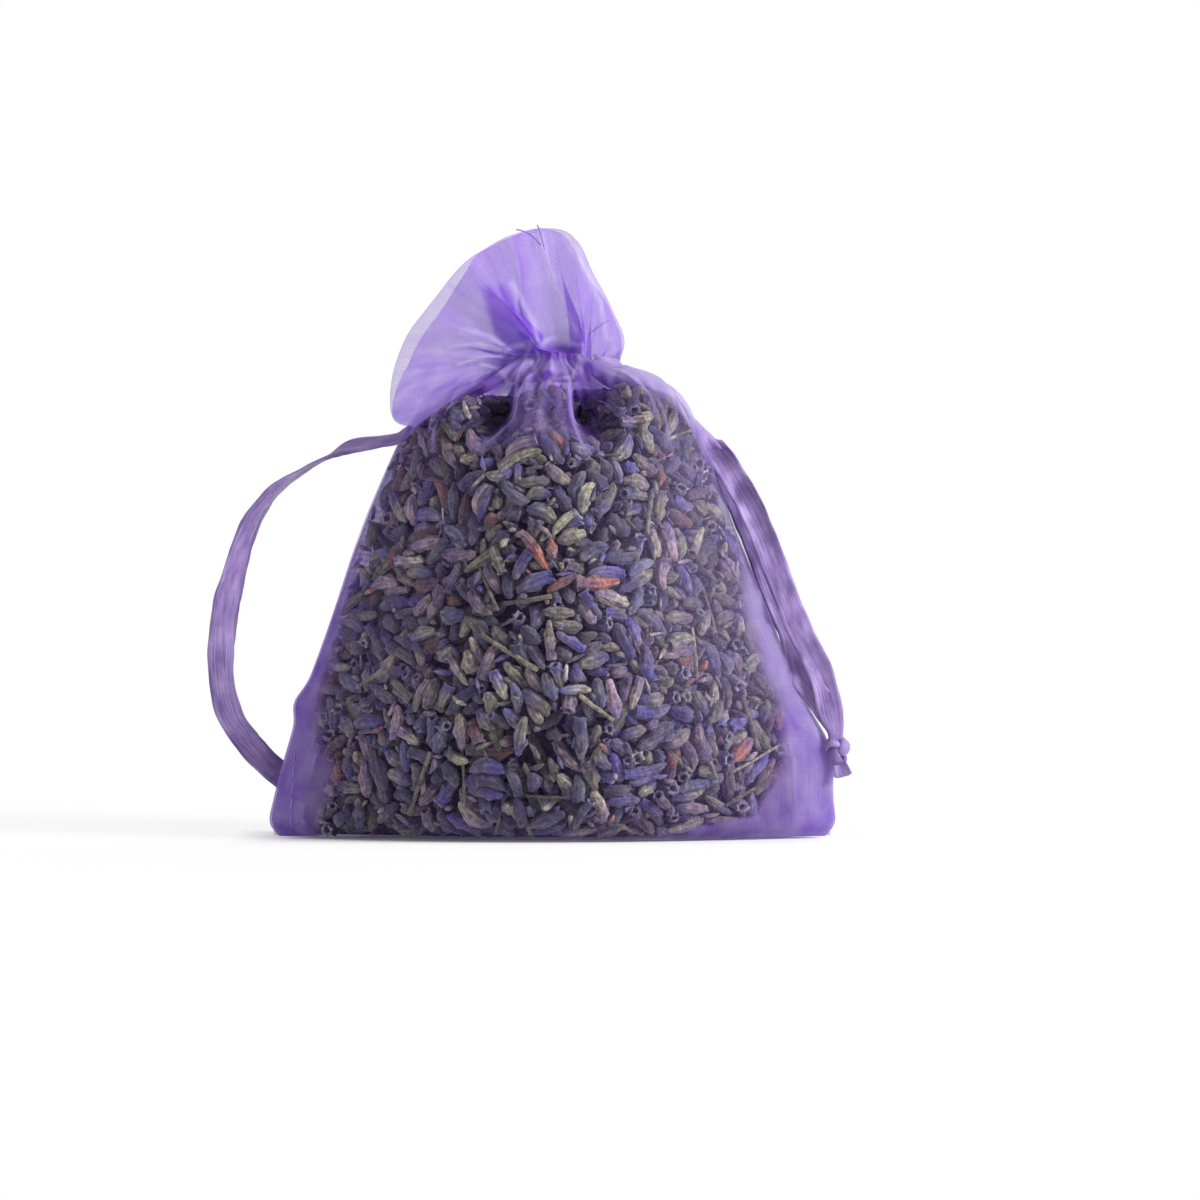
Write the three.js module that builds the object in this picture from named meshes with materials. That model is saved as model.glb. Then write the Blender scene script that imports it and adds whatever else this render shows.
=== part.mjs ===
// A lavender sachet: a sheer drawstring pouch, filled with dried lavender buds and drawn shut at the neck
// by two ribbons that come out at opposite sides. Millimetres, +Z up, -Y is the front, and the origin is
// the middle of the base.
import * as THREE from "three";

// Cloth, seams and clearances
const CLOTH_THICKNESS = 0.5;
const SEAT_GAP = 0.3;
const SEAM_THICKNESS = 0.4;
const SIDE_SEAM_WIDTH = 2.4;
const RUFFLE_SEAM_WIDTH = 1.6;
const BOTTOM_SEAM_WIDTH = 0.9;

// The filled pouch at each level, from the base up
const BASE_WIDTH = 70;
const BASE_DEPTH = 19;
const HEEL_HEIGHT = 5;
const HEEL_WIDTH = 69;
const HEEL_DEPTH = 27;
const HIP_HEIGHT = 17;
const HIP_WIDTH = 62;
const HIP_DEPTH = 33;
const WAIST_HEIGHT = 36;
const WAIST_WIDTH = 47.4;
const WAIST_DEPTH = 31;
const SHOULDER_HEIGHT = 52.6;
const SHOULDER_WIDTH = 34.4;
const SHOULDER_DEPTH = 23.5;
const CREST_HEIGHT = 55.8;
const CREST_WIDTH = 22.4;
const CREST_DEPTH = 17;
const CORNER_RISE = 0.9;

// The drawn neck, where the drawstring channel runs
const CHANNEL_BOTTOM = 56.2;
const CHANNEL_HEIGHT = 3.8;
const NECK_WIDTH = 12.6;
const NECK_DEPTH = 9;
const SLIT_WIDTH = 3;

// Pleats: folds to each panel, and how deep they are on the shoulder and at the neck
const PLEATS_PER_PANEL = 4;
const PLEAT_START_HEIGHT = 40;
const SHOULDER_PLEAT_DEPTH = 1.3;
const NECK_PLEAT_DEPTH = 0.8;

// The ruffle above the neck, folded forwards on the left and backwards on the right. Its rim runs through
// these places, from the left seam to the right one, measured from the middle of the channel's top
const RUFFLE_RIM = [
  [-18.2, -8.6, -8.8],
  [-19.6, -7.2, -4],
  [-18, -5, 2],
  [-14.6, -3.4, 7.2],
  [-9.2, -1.6, 12.8],
  [-2, 0.4, 15.6],
  [3.2, 1.4, 13.8],
  [6.8, 2.8, 7.6],
  [8.9, 4.6, 2.4],
];
const RUFFLE_KNEE_RISE = 0.8;
const RUFFLE_KNEE_OUT = 0.2;
const RUFFLE_KNEE_FORWARD = 0.6;
const RUFFLE_SPREAD = 8;
const RUFFLE_DEPTH = 2.2;

// Lavender buds
const BUD_LENGTH = 4.8;
const BUD_DIAMETER = 1.7;
const BUD_PLAY = 0.6;
const FRONT_BUDS = 20;
const BACK_BUDS = 14;
const BUD_SIDES = 6;

// Ribbon drawstrings and their knots
const RIBBON_WIDTH = 3.2;
const RIBBON_THICKNESS = 0.4;
const CHANNEL_RIBBON_WIDTH = 1.4;
const ARM_SPACING = 1.5;
const BIGHT_REACH = 4;
const KNOT_LENGTH = 4.2;
const KNOT_DIAMETER = 3.4;
const KNOT_END_DIAMETER = 2.2;
const KNOT_WAIST_DIAMETER = 2.8;
const KNOT_SIDES = 12;

// Mesh steps
const ACROSS_STEPS = 24;
const BODY_STEPS = 14;
const RUFFLE_STEPS = 7;
const SEAM_STEPS = 22;
const RUN_STEPS = 76;
const STRAND_STEPS = 34;
const TAIL_STEPS = 4;

// The panels' shape comes from how steeply they pinch together at the side seams, as a power
const PINCH = 1.15;
const CORE_SPAN = 0.8;
const CORE_PLEAT_SHARE = 0.5;

const FRONT = -1;
const BACK = 1;
const UP = new THREE.Vector3(0, 0, 1);
const BACKWARDS = new THREE.Vector3(0, 1, 0);
const { lerp, smoothstep } = THREE.MathUtils;

const channelTop = CHANNEL_BOTTOM + CHANNEL_HEIGHT;
const seamHalfGap = SEAM_THICKNESS / 2 + SEAT_GAP + CLOTH_THICKNESS / 2;
const coreInset = CLOTH_THICKNESS / 2 + BUD_DIAMETER + 2 * SEAT_GAP + BUD_PLAY;
const coreFloor = CLOTH_THICKNESS + SEAT_GAP;
const leftRibbonHeight = CHANNEL_BOTTOM + SEAT_GAP + CHANNEL_RIBBON_WIDTH / 2;
const rightRibbonHeight = channelTop - SEAT_GAP - CHANNEL_RIBBON_WIDTH / 2;
const armOffset = ARM_SPACING / 2;

// Half width, half depth and height of the pouch, as one smooth curve from the base to the channel's top
const profile = new THREE.CatmullRomCurve3([
  new THREE.Vector3(BASE_WIDTH / 2, BASE_DEPTH / 2, CLOTH_THICKNESS / 2),
  new THREE.Vector3(HEEL_WIDTH / 2, HEEL_DEPTH / 2, HEEL_HEIGHT),
  new THREE.Vector3(HIP_WIDTH / 2, HIP_DEPTH / 2, HIP_HEIGHT),
  new THREE.Vector3(WAIST_WIDTH / 2, WAIST_DEPTH / 2, WAIST_HEIGHT),
  new THREE.Vector3(SHOULDER_WIDTH / 2, SHOULDER_DEPTH / 2, SHOULDER_HEIGHT),
  new THREE.Vector3(CREST_WIDTH / 2, CREST_DEPTH / 2, CREST_HEIGHT),
  new THREE.Vector3(NECK_WIDTH / 2, NECK_DEPTH / 2, CHANNEL_BOTTOM),
  new THREE.Vector3(NECK_WIDTH / 2, NECK_DEPTH / 2, channelTop),
]);
const ruffleRim = new THREE.CatmullRomCurve3(
  RUFFLE_RIM.map(([x, y, z]) => new THREE.Vector3(x, y, channelTop + z)),
);
const LEVELS = profile.points.length - 1;
const SHOULDER_SHARE = 4 / LEVELS;
const CREST_SHARE = 5 / LEVELS;

// Materials
const cloth = (color) => new THREE.MeshStandardMaterial({ color, roughness: 0.65, metalness: 0 });
const organza = cloth(0x9b82cc);
const seamThread = cloth(0x7a62b4);
const satin = new THREE.MeshStandardMaterial({ color: 0x9a82bd, roughness: 0.35, metalness: 0 });
const lavender = new THREE.MeshStandardMaterial({ color: 0x5b5468, roughness: 0.9, metalness: 0 });

// Geometry from corner points and faces, turned so that its faces point out
function solid(points, faces) {
  const corners = faces.flatMap((face) => face.map((index) => points[index]));
  let volume = 0;
  for (let i = 0; i < corners.length; i += 3) {
    volume += corners[i].dot(new THREE.Vector3().crossVectors(corners[i + 1], corners[i + 2]));
  }
  const outward = volume > 0 ? faces : faces.map(([a, b, c]) => [a, c, b]);
  const geometry = new THREE.BufferGeometry();
  const numbers = points.flatMap((p) => p.toArray());
  geometry.setAttribute("position", new THREE.Float32BufferAttribute(numbers, 3));
  geometry.setIndex(outward.flat());
  geometry.computeVertexNormals();
  return geometry;
}

// A thin sheet of even thickness on a grid of rows of points
function sheet(rows, normals, thickness) {
  const across = rows[0].length;
  const shiftRow = (row, j, step) => row.map((p, i) => p.clone().addScaledVector(normals[j][i], step));
  const shifted = (step) => rows.flatMap((row, j) => shiftRow(row, j, step));
  const points = [...shifted(thickness / 2), ...shifted(-thickness / 2)];
  const outer = (i, j) => j * across + i;
  const inner = (i, j) => rows.length * across + j * across + i;
  const faces = [];
  const quad = (a, b, c, d) => faces.push([a, b, c], [a, c, d]);
  for (let j = 0; j < rows.length - 1; j += 1) {
    for (let i = 0; i < across - 1; i += 1) {
      quad(outer(i, j), outer(i + 1, j), outer(i + 1, j + 1), outer(i, j + 1));
      quad(inner(i, j), inner(i, j + 1), inner(i + 1, j + 1), inner(i + 1, j));
    }
    quad(outer(0, j), outer(0, j + 1), inner(0, j + 1), inner(0, j));
    quad(outer(across - 1, j), inner(across - 1, j), inner(across - 1, j + 1), outer(across - 1, j + 1));
  }
  const last = rows.length - 1;
  for (let i = 0; i < across - 1; i += 1) {
    quad(outer(i, 0), inner(i, 0), inner(i + 1, 0), outer(i + 1, 0));
    quad(outer(i, last), outer(i + 1, last), inner(i + 1, last), inner(i, last));
  }
  return solid(points, faces);
}

// A closed solid through rings of points, with a flat fan at each end
function loft(rings) {
  const count = rings[0].length;
  const middle = (ring) => ring.reduce((sum, p) => sum.add(p), new THREE.Vector3()).divideScalar(count);
  const points = [...rings.flat(), middle(rings[0]), middle(rings.at(-1))];
  const low = rings.length * count;
  const top = (rings.length - 1) * count;
  const faces = [];
  for (let i = 0; i < count; i += 1) {
    const next = (i + 1) % count;
    for (let j = 0; j < rings.length - 1; j += 1) {
      const here = j * count;
      const above = here + count;
      faces.push([here + i, here + next, above + next], [here + i, above + next, above + i]);
    }
    faces.push([low, next, i], [low + 1, top + i, top + next]);
  }
  return solid(points, faces);
}

// Folds across a panel: a ridge at its middle, dying out towards the side seams
function pleatWave(s) {
  return Math.cos(Math.PI * PLEATS_PER_PANEL * s) * (1 - s ** 4);
}

// A point of a panel below the ruffle: s runs from the left seam, -1, to the right seam, 1, and t from the
// base, 0, to the channel's top, 1
function bodyPoint(side, s, t, pleatShare = 1) {
  const level = profile.getPoint(t);
  const round = smoothstep(level.z, WAIST_HEIGHT, CREST_HEIGHT);
  const across = lerp(s, Math.sin((s * Math.PI) / 2), round);
  const bulge = lerp(Math.max(1 - s * s, 0) ** PINCH, Math.cos((s * Math.PI) / 2), round);
  const atNeck = smoothstep(level.z, CREST_HEIGHT, CHANNEL_BOTTOM);
  const edge = lerp(seamHalfGap, SLIT_WIDTH / 2, atNeck);
  const point = new THREE.Vector3(level.x * across, side * (edge + (level.y - edge) * bulge), level.z);
  const depth = lerp(SHOULDER_PLEAT_DEPTH, NECK_PLEAT_DEPTH, atNeck);
  const gathered = smoothstep(level.z, PLEAT_START_HEIGHT, CREST_HEIGHT);
  const outward = new THREE.Vector3(point.x / level.x ** 2, point.y / level.y ** 2, 0).normalize();
  return point.addScaledVector(outward, pleatShare * depth * gathered * pleatWave(s));
}

// A point of a panel's ruffle: h runs from the channel's top, 0, to the free edge, 1
function rufflePoint(side, s, h) {
  const foot = bodyPoint(side, s, 1);
  const share = (s + 1) / 2;
  const rim = ruffleRim.getPointAt(share);
  const run = rim.clone().sub(foot.clone().setY(0));
  const facing = ruffleRim.getTangentAt(share).cross(run).normalize();
  const open = Math.cos((s * Math.PI) / 2);
  const apart = seamHalfGap + open * (RUFFLE_SPREAD / 2 + RUFFLE_DEPTH * pleatWave(s));
  rim.addScaledVector(facing, -side * apart);
  const knee = new THREE.Vector3(
    lerp(foot.x, rim.x, RUFFLE_KNEE_OUT),
    lerp(foot.y, rim.y, RUFFLE_KNEE_FORWARD),
    foot.z + RUFFLE_KNEE_RISE,
  );
  return new THREE.QuadraticBezierCurve3(foot, knee, rim).getPoint(h);
}

// Outward normal of a panel, from small steps along and up it
function outwardNormal(side, s, along, pointAt) {
  const step = 0.002;
  const acrossStep = pointAt(Math.min(s + step, 1), along).sub(pointAt(Math.max(s - step, -1), along));
  const upStep = pointAt(s, Math.min(along + step, 1)).sub(pointAt(s, Math.max(along - step, 0)));
  return acrossStep.cross(upStep).multiplyScalar(-side).normalize();
}

function bodyNormal(side, s, t, pleatShare = 1) {
  return outwardNormal(side, s, t, (a, b) => bodyPoint(side, a, b, pleatShare));
}

function ruffleNormal(side, s, h) {
  return outwardNormal(side, s, h, (a, b) => rufflePoint(side, a, b));
}

// One organza panel: the flat that it stands on, the body, the channel and the ruffle
function panel(side) {
  const columns = Array.from({ length: ACROSS_STEPS + 1 }, (_, i) => -1 + (2 * i) / ACROSS_STEPS);
  const isCorner = (s) => Math.abs(s) === 1;
  const down = new THREE.Vector3(0, 0, -1);
  const cornerNormal = new THREE.Vector3(0, side, -1).normalize();
  const floorNormals = columns.map((s) => (isCorner(s) ? cornerNormal : down));
  const seamPoint = (s) => new THREE.Vector3((s * BASE_WIDTH) / 2, side * seamHalfGap, CLOTH_THICKNESS / 2);
  const rise = (s) => (isCorner(s) ? CORNER_RISE : 0);
  const seamRow = columns.map(seamPoint);
  const edgeRow = columns.map((s) => bodyPoint(side, s, 0).addScaledVector(UP, rise(s)));
  const rows = [seamRow, edgeRow];
  const normals = [floorNormals, floorNormals];
  for (let j = 1; j <= BODY_STEPS; j += 1) {
    const t = j / BODY_STEPS;
    rows.push(columns.map((s) => bodyPoint(side, s, t)));
    normals.push(columns.map((s) => bodyNormal(side, s, t)));
  }
  for (let j = 1; j <= RUFFLE_STEPS; j += 1) {
    const h = j / RUFFLE_STEPS;
    rows.push(columns.map((s) => rufflePoint(side, s, h)));
    normals.push(columns.map((s) => ruffleNormal(side, s, h)));
  }
  return sheet(rows, normals, CLOTH_THICKNESS);
}

// A flat strip along a path: its width lies along acrossAt, and it is closed at both ends
function strip(path, acrossAt, widthAt, thickness) {
  const rings = path.map((point, i) => {
    const last = path.length - 1;
    const tangent = path[Math.min(i + 1, last)].clone().sub(path[Math.max(i - 1, 0)]).normalize();
    const across = acrossAt(point, tangent, i / last).normalize();
    const through = new THREE.Vector3().crossVectors(tangent, across);
    const halfWidth = across.clone().multiplyScalar(widthAt(point) / 2);
    const halfThickness = through.multiplyScalar(thickness / 2);
    const corner = (u, v) => point.clone().addScaledVector(halfWidth, u).addScaledVector(halfThickness, v);
    return [corner(-1, -1), corner(1, -1), corner(1, 1), corner(-1, 1)];
  });
  return loft(rings);
}

// A seam allowance between the two panels, its outer edge on their common edge
function edgeSeam(edgeAt, insideAt, width) {
  const edges = Array.from({ length: SEAM_STEPS + 1 }, (_, i) => edgeAt(i / SEAM_STEPS));
  const inwards = edges.map((edge, i) => insideAt(i / SEAM_STEPS).sub(edge).normalize());
  const path = edges.map((edge, i) => edge.clone().addScaledVector(inwards[i], width / 2));
  const acrossAt = (point, tangent, share) => inwards[Math.round(share * SEAM_STEPS)].clone();
  return strip(path, acrossAt, () => width, SEAM_THICKNESS);
}

// Side seam from just above the base to the shoulder's crest
function sideSeam(hand) {
  const lowest = 0.02;
  const along = (share) => lerp(lowest, CREST_SHARE, share);
  const edgeAt = (share) => bodyPoint(FRONT, hand, along(share)).setY(0);
  const insideAt = (share) => {
    const t = along(share);
    const up = profile.getTangent(t);
    return edgeAt(share).add(new THREE.Vector3(-hand * up.z, 0, up.x));
  };
  return edgeSeam(edgeAt, insideAt, SIDE_SEAM_WIDTH);
}

// Seam of the ruffle from just above the channel to the free edge
function ruffleSeam(hand) {
  const lowest = 0.58;
  const inner = 0.96;
  const middle = (s, h) => rufflePoint(FRONT, s, h).add(rufflePoint(BACK, s, h)).divideScalar(2);
  const along = (share) => lerp(lowest, 1, share);
  const edgeAt = (share) => middle(hand, along(share));
  const insideAt = (share) => middle(hand * inner, along(share));
  return edgeSeam(edgeAt, insideAt, RUFFLE_SEAM_WIDTH);
}

// Bottom seam, lying flat between the two panels' lower edges
function bottomSeam() {
  const length = BASE_WIDTH - 2 * SIDE_SEAM_WIDTH;
  const geometry = new THREE.BoxGeometry(length, BOTTOM_SEAM_WIDTH, SEAM_THICKNESS);
  return geometry.translate(0, 0, CLOTH_THICKNESS / 2);
}

// A place on the lavender's bulk, inside the panels by the layer of single buds
function corePoint(side, s, t) {
  const normal = bodyNormal(side, s, t, CORE_PLEAT_SHARE);
  return bodyPoint(side, s, t, CORE_PLEAT_SHARE).addScaledVector(normal, -coreInset);
}

// The bulk of the lavender, one solid that stands for the packed buds behind the single ones
function lavenderBulk() {
  const lowest = 0.09;
  const steps = 10;
  const spanSteps = 20;
  const span = Array.from({ length: spanSteps + 1 }, (_, i) => lerp(-CORE_SPAN, CORE_SPAN, i / spanSteps));
  const ringAt = (t) => [
    ...span.map((s) => corePoint(FRONT, s, t)),
    ...[...span].reverse().map((s) => corePoint(BACK, s, t)),
  ];
  const rings = Array.from({ length: steps + 1 }, (_, j) => ringAt(lerp(lowest, CREST_SHARE, j / steps)));
  const footShare = 1 - coreInset / (BASE_DEPTH / 2);
  const foot = rings[0].map((p) => new THREE.Vector3(p.x, p.y * footShare, coreFloor));
  return loft([foot, ...rings]);
}

// One dried bud: a blunt spindle along its own Y axis
function budGeometry() {
  const half = BUD_LENGTH / 2;
  const radius = BUD_DIAMETER / 2;
  const outline = [
    new THREE.Vector2(0, -half),
    new THREE.Vector2(radius * 0.7, -half * 0.75),
    new THREE.Vector2(radius, half * 0.1),
    new THREE.Vector2(radius * 0.6, half * 0.9),
    new THREE.Vector2(0, half),
  ];
  return new THREE.LatheGeometry(outline, BUD_SIDES);
}

// Single buds in the layer between the bulk and a panel, spread evenly and turned every way
function singleBuds(side, count, label) {
  const spreadAcross = 0.66;
  const lowest = 0.2;
  const golden = (Math.sqrt(5) - 1) / 2;
  return Array.from({ length: count }, (_, i) => {
    const s = lerp(-spreadAcross, spreadAcross, (i * golden) % 1);
    const t = lerp(lowest, SHOULDER_SHARE, (i + 0.5) / count);
    const normal = bodyNormal(side, s, t, CORE_PLEAT_SHARE);
    const level = new THREE.Vector3().crossVectors(UP, normal).normalize();
    const lie = level.applyAxisAngle(normal, Math.PI * 2 * golden * i);
    const bud = part(`lavender_bud_${label}_${i + 1}`, budGeometry(), lavender);
    bud.position.copy(corePoint(side, s, t)).addScaledVector(normal, SEAT_GAP + BUD_DIAMETER / 2);
    bud.quaternion.setFromUnitVectors(BACKWARDS, lie);
    return bud;
  });
}

// Direction across a ribbon: along Y where it lies flat, along Z where it stands in the channel
const flatAcross = (tangent) => BACKWARDS.clone().addScaledVector(tangent, -BACKWARDS.dot(tangent));
const uprightAcross = (tangent) => UP.clone().addScaledVector(tangent, -UP.dot(tangent));

// A smooth path of evenly spaced points through the places given
function smoothPath(places, steps) {
  const points = places.map((place) => new THREE.Vector3(...place));
  return new THREE.CatmullRomCurve3(points).getSpacedPoints(steps);
}

// The stretch of a drawstring that the pouch holds: a hairpin in the channel and two arms over the shoulder
function drawstringRun(hand, height, shoulderPoints) {
  const flatFrom = 8;
  const flatTo = 13;
  const flatness = (point) => smoothstep(hand * point.x, flatFrom, flatTo);
  const exit = NECK_WIDTH / 2 + CLOTH_THICKNESS;
  const channelArm = [-BIGHT_REACH, -BIGHT_REACH / 2, BIGHT_REACH / 2, exit];
  const arm = [...channelArm.map((x) => [hand * x, -armOffset, height]), ...shoulderPoints];
  const bight = [-hand * (BIGHT_REACH + armOffset), 0, height];
  const backArm = arm.map(([x, y, z]) => [x, -y, z]);
  const path = smoothPath([...arm.reverse(), bight, ...backArm], RUN_STEPS);
  const acrossAt = (point, tangent) => {
    const turn = (flatness(point) * Math.PI) / 2;
    const upright = uprightAcross(tangent).multiplyScalar(Math.cos(turn));
    return upright.addScaledVector(flatAcross(tangent), Math.sin(turn));
  };
  const widthAt = (point) => lerp(CHANNEL_RIBBON_WIDTH, RIBBON_WIDTH, flatness(point));
  return strip(path, acrossAt, widthAt, RIBBON_THICKNESS);
}

// A free strand: flat where it leaves the shoulder, then turning a quarter to show its face
function drawstringStrand(points) {
  const turnFrom = 0.03;
  const turnTo = 0.36;
  const path = smoothPath(points, STRAND_STEPS);
  const acrossAt = (point, tangent, share) => {
    const turn = (smoothstep(share, turnFrom, turnTo) * Math.PI) / 2;
    const flat = flatAcross(tangent).normalize();
    const face = new THREE.Vector3().crossVectors(tangent, flat);
    return flat.multiplyScalar(Math.cos(turn)).addScaledVector(face, Math.sin(turn));
  };
  return strip(path, acrossAt, () => RIBBON_WIDTH, RIBBON_THICKNESS);
}

// A short ribbon end beyond a knot, its face to the front
function drawstringTail(points) {
  const path = smoothPath(points, TAIL_STEPS);
  const acrossAt = (point, tangent) => new THREE.Vector3().crossVectors(tangent, flatAcross(tangent));
  return strip(path, acrossAt, () => CHANNEL_RIBBON_WIDTH, RIBBON_THICKNESS);
}

// An overhand knot: a lump with a waist between its two turns
function knotGeometry() {
  const half = KNOT_LENGTH / 2;
  const outline = [
    new THREE.Vector2(0, -half),
    new THREE.Vector2(KNOT_END_DIAMETER / 2, -half),
    new THREE.Vector2(KNOT_DIAMETER / 2, -half * 0.5),
    new THREE.Vector2(KNOT_WAIST_DIAMETER / 2, 0),
    new THREE.Vector2(KNOT_DIAMETER / 2, half * 0.5),
    new THREE.Vector2(KNOT_END_DIAMETER / 2, half),
    new THREE.Vector2(0, half),
  ];
  return new THREE.LatheGeometry(outline, KNOT_SIDES);
}

function part(name, geometry, material) {
  const mesh = new THREE.Mesh(geometry, material.clone());
  mesh.name = name;
  return mesh;
}

// One drawstring: the held hairpin, two free strands, the knot that joins them and the two ends beyond it
function drawstring(label, hand, height, route) {
  const knot = part(`${label}_knot`, knotGeometry(), satin);
  knot.position.set(...route.knot);
  knot.quaternion.setFromUnitVectors(BACKWARDS, new THREE.Vector3(...route.knotDirection).normalize());
  return [
    part(`${label}_drawstring_run`, drawstringRun(hand, height, route.shoulder), satin),
    part(`${label}_strand_front`, drawstringStrand(route.frontStrand), satin),
    part(`${label}_strand_back`, drawstringStrand(route.backStrand), satin),
    knot,
    part(`${label}_tail_front`, drawstringTail(route.frontTail), satin),
    part(`${label}_tail_back`, drawstringTail(route.backTail), satin),
  ];
}

// The left ribbon arches out and down, and ends in a knot on the floor behind the pouch
const leftRoute = {
  shoulder: [
    [-9.2, -1.7, 57.4],
    [-12, -1.9, 57.3],
    [-14.6, -1.9, 56.2],
    [-17.2, -1.9, 54.1],
    [-18.9, -1.9, 51.9],
    [-20.3, -1.9, 50.9],
  ],
  frontStrand: [
    [-20.85, -1.9, 50.6],
    [-23.5, -1.7, 49.6],
    [-27, -1.5, 48],
    [-30.6, -1.3, 46],
    [-34.4, -1.2, 43],
    [-37.6, -1, 38.7],
    [-39.7, -0.8, 33],
    [-40.9, -0.5, 26],
    [-40.9, 0, 20],
    [-39.3, 1.2, 15],
    [-36.4, 3.2, 10.6],
    [-33, 6, 6.9],
    [-29.6, 9.4, 4.4],
    [-27.3, 11.7, 3.3],
  ],
  backStrand: [
    [-20.85, 1.9, 50.6],
    [-23.5, 1.9, 49.8],
    [-27, 1.7, 48.4],
    [-30.6, 1.3, 46.3],
    [-34.2, 0.9, 43],
    [-37.2, 0.7, 38.7],
    [-39.3, 0.8, 33],
    [-40.5, 1, 26],
    [-40.4, 1.6, 20],
    [-38.7, 2.9, 15],
    [-35.7, 5, 10.8],
    [-32.2, 7.8, 7.2],
    [-28.8, 11, 4.8],
    [-26.6, 13, 3.6],
  ],
  knot: [-25, 14.2, 2.5],
  knotDirection: [-0.72, -0.69, 0.2],
  frontTail: [
    [-22.5, 15.4, 2.1],
    [-21.3, 15.6, 1.9],
    [-19.8, 15.6, 1.5],
  ],
  backTail: [
    [-23.4, 16.5, 2],
    [-22.6, 17.6, 1.8],
    [-22, 19, 1.5],
  ],
};

// The right ribbon lies down the side of the pouch to a knot near the base
const rightRoute = {
  shoulder: [
    [9.2, -1.7, 59],
    [11.6, -1.9, 58.4],
    [14, -1.9, 57.1],
    [16.4, -1.9, 55.1],
    [18.2, -1.9, 52.6],
  ],
  frontStrand: [
    [18.55, -1.9, 52.05],
    [20.2, -1.9, 49.2],
    [22, -1.9, 46.2],
    [24, -1.9, 42.6],
    [25.9, -1.8, 38.6],
    [27.6, -1.7, 34.2],
    [29.2, -1.7, 29.8],
    [31.2, -1.7, 25.6],
    [33.2, -1.6, 21.8],
    [34.5, -1.5, 18],
    [34.9, -1.4, 15.4],
    [35.1, -1.2, 13.7],
  ],
  backStrand: [
    [18.55, 1.9, 52.05],
    [20.3, 1.8, 48.9],
    [22.3, 1.5, 45.4],
    [24.4, 1.2, 41.4],
    [26.2, 0.9, 37.2],
    [27.8, 0.7, 33],
    [29.3, 0.6, 29],
    [30.9, 0.5, 25],
    [32.4, 0.5, 21.2],
    [33.7, 0.4, 17.6],
    [34.5, 0.3, 15],
    [35, 0.2, 13.7],
  ],
  knot: [35.3, -0.5, 11],
  knotDirection: [-0.08, 0, 1],
  frontTail: [
    [35.8, -1.1, 8.3],
    [36.1, -1.4, 7.3],
    [36.2, -1.8, 6.1],
  ],
  backTail: [
    [35.7, 0.4, 8.3],
    [35.9, 0.8, 7.1],
    [36.1, 1.4, 5.9],
  ],
};

const sachet = new THREE.Group();
sachet.add(
  part("front_panel", panel(FRONT), organza),
  part("back_panel", panel(BACK), organza),
  part("bottom_seam", bottomSeam(), seamThread),
  part("left_side_seam", sideSeam(-1), seamThread),
  part("right_side_seam", sideSeam(1), seamThread),
  part("left_ruffle_seam", ruffleSeam(-1), seamThread),
  part("right_ruffle_seam", ruffleSeam(1), seamThread),
  part("lavender_fill", lavenderBulk(), lavender),
  ...singleBuds(FRONT, FRONT_BUDS, "front"),
  ...singleBuds(BACK, BACK_BUDS, "back"),
  ...drawstring("left", -1, leftRibbonHeight, leftRoute),
  ...drawstring("right", 1, rightRibbonHeight, rightRoute),
);

export default sachet;
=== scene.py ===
# Looks of a lavender sachet: a sheer organza pouch, satin ribbon drawstrings and dried lavender buds.
# Lengths are in millimetres until a mesh is made. -Y is the front, and s runs from the left seam, -1,
# to the right one, 1.
import math

import bpy
import numpy as np
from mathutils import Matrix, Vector
from mathutils.bvhtree import BVHTree
from mathutils.kdtree import KDTree


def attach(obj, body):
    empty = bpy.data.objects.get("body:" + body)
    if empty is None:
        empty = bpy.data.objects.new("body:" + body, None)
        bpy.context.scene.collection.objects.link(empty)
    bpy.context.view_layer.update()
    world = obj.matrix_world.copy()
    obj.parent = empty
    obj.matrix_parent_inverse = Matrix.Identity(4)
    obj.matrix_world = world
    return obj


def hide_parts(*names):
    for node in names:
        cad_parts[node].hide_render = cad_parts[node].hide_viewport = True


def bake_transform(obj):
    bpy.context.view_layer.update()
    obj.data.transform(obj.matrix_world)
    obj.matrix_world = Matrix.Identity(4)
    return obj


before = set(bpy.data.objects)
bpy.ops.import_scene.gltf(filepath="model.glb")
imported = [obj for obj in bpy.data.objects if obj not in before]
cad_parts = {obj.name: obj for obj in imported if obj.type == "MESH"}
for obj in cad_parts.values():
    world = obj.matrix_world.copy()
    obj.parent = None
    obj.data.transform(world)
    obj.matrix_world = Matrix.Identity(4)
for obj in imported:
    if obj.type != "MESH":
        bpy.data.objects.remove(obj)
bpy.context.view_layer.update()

MM = 0.001
FRONT, BACK = -1, 1
LEFT, RIGHT = -1, 1
UP = np.array([0.0, 0.0, 1.0])
BACKWARDS = np.array([0.0, 1.0, 0.0])

# Camera, as the photograph was taken
VIEW_MIDDLE = (5.95, 0.0, 29.5)
VIEW_SPAN = 148.7
LENS = 150.0
SENSOR = 36.0
CAMERA_ELEVATION = math.radians(1.0)
CLIP_START, CLIP_END = 0.01, 20.0

# Lamps, in metres and watts: place, size and power. The world's own light is for all but the camera
LAMP_AIM = (0, 0, 0.03)
LAMPS = {
    "key_lamp": ((0.76, -0.36, 0.46), 0.32, 12.6),
    "fill_lamp": ((-0.72, -0.34, 0.35), 0.6, 2.4),
    "back_lamp": ((0.3, 0.6, 0.5), 0.6, 2.0),
}
WORLD_LIGHT = 0.3
FLOOR_REACH = 2500.0
# How many layers of sheer cloth a ray may pass through
CLEAR_LAYERS = 32

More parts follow.
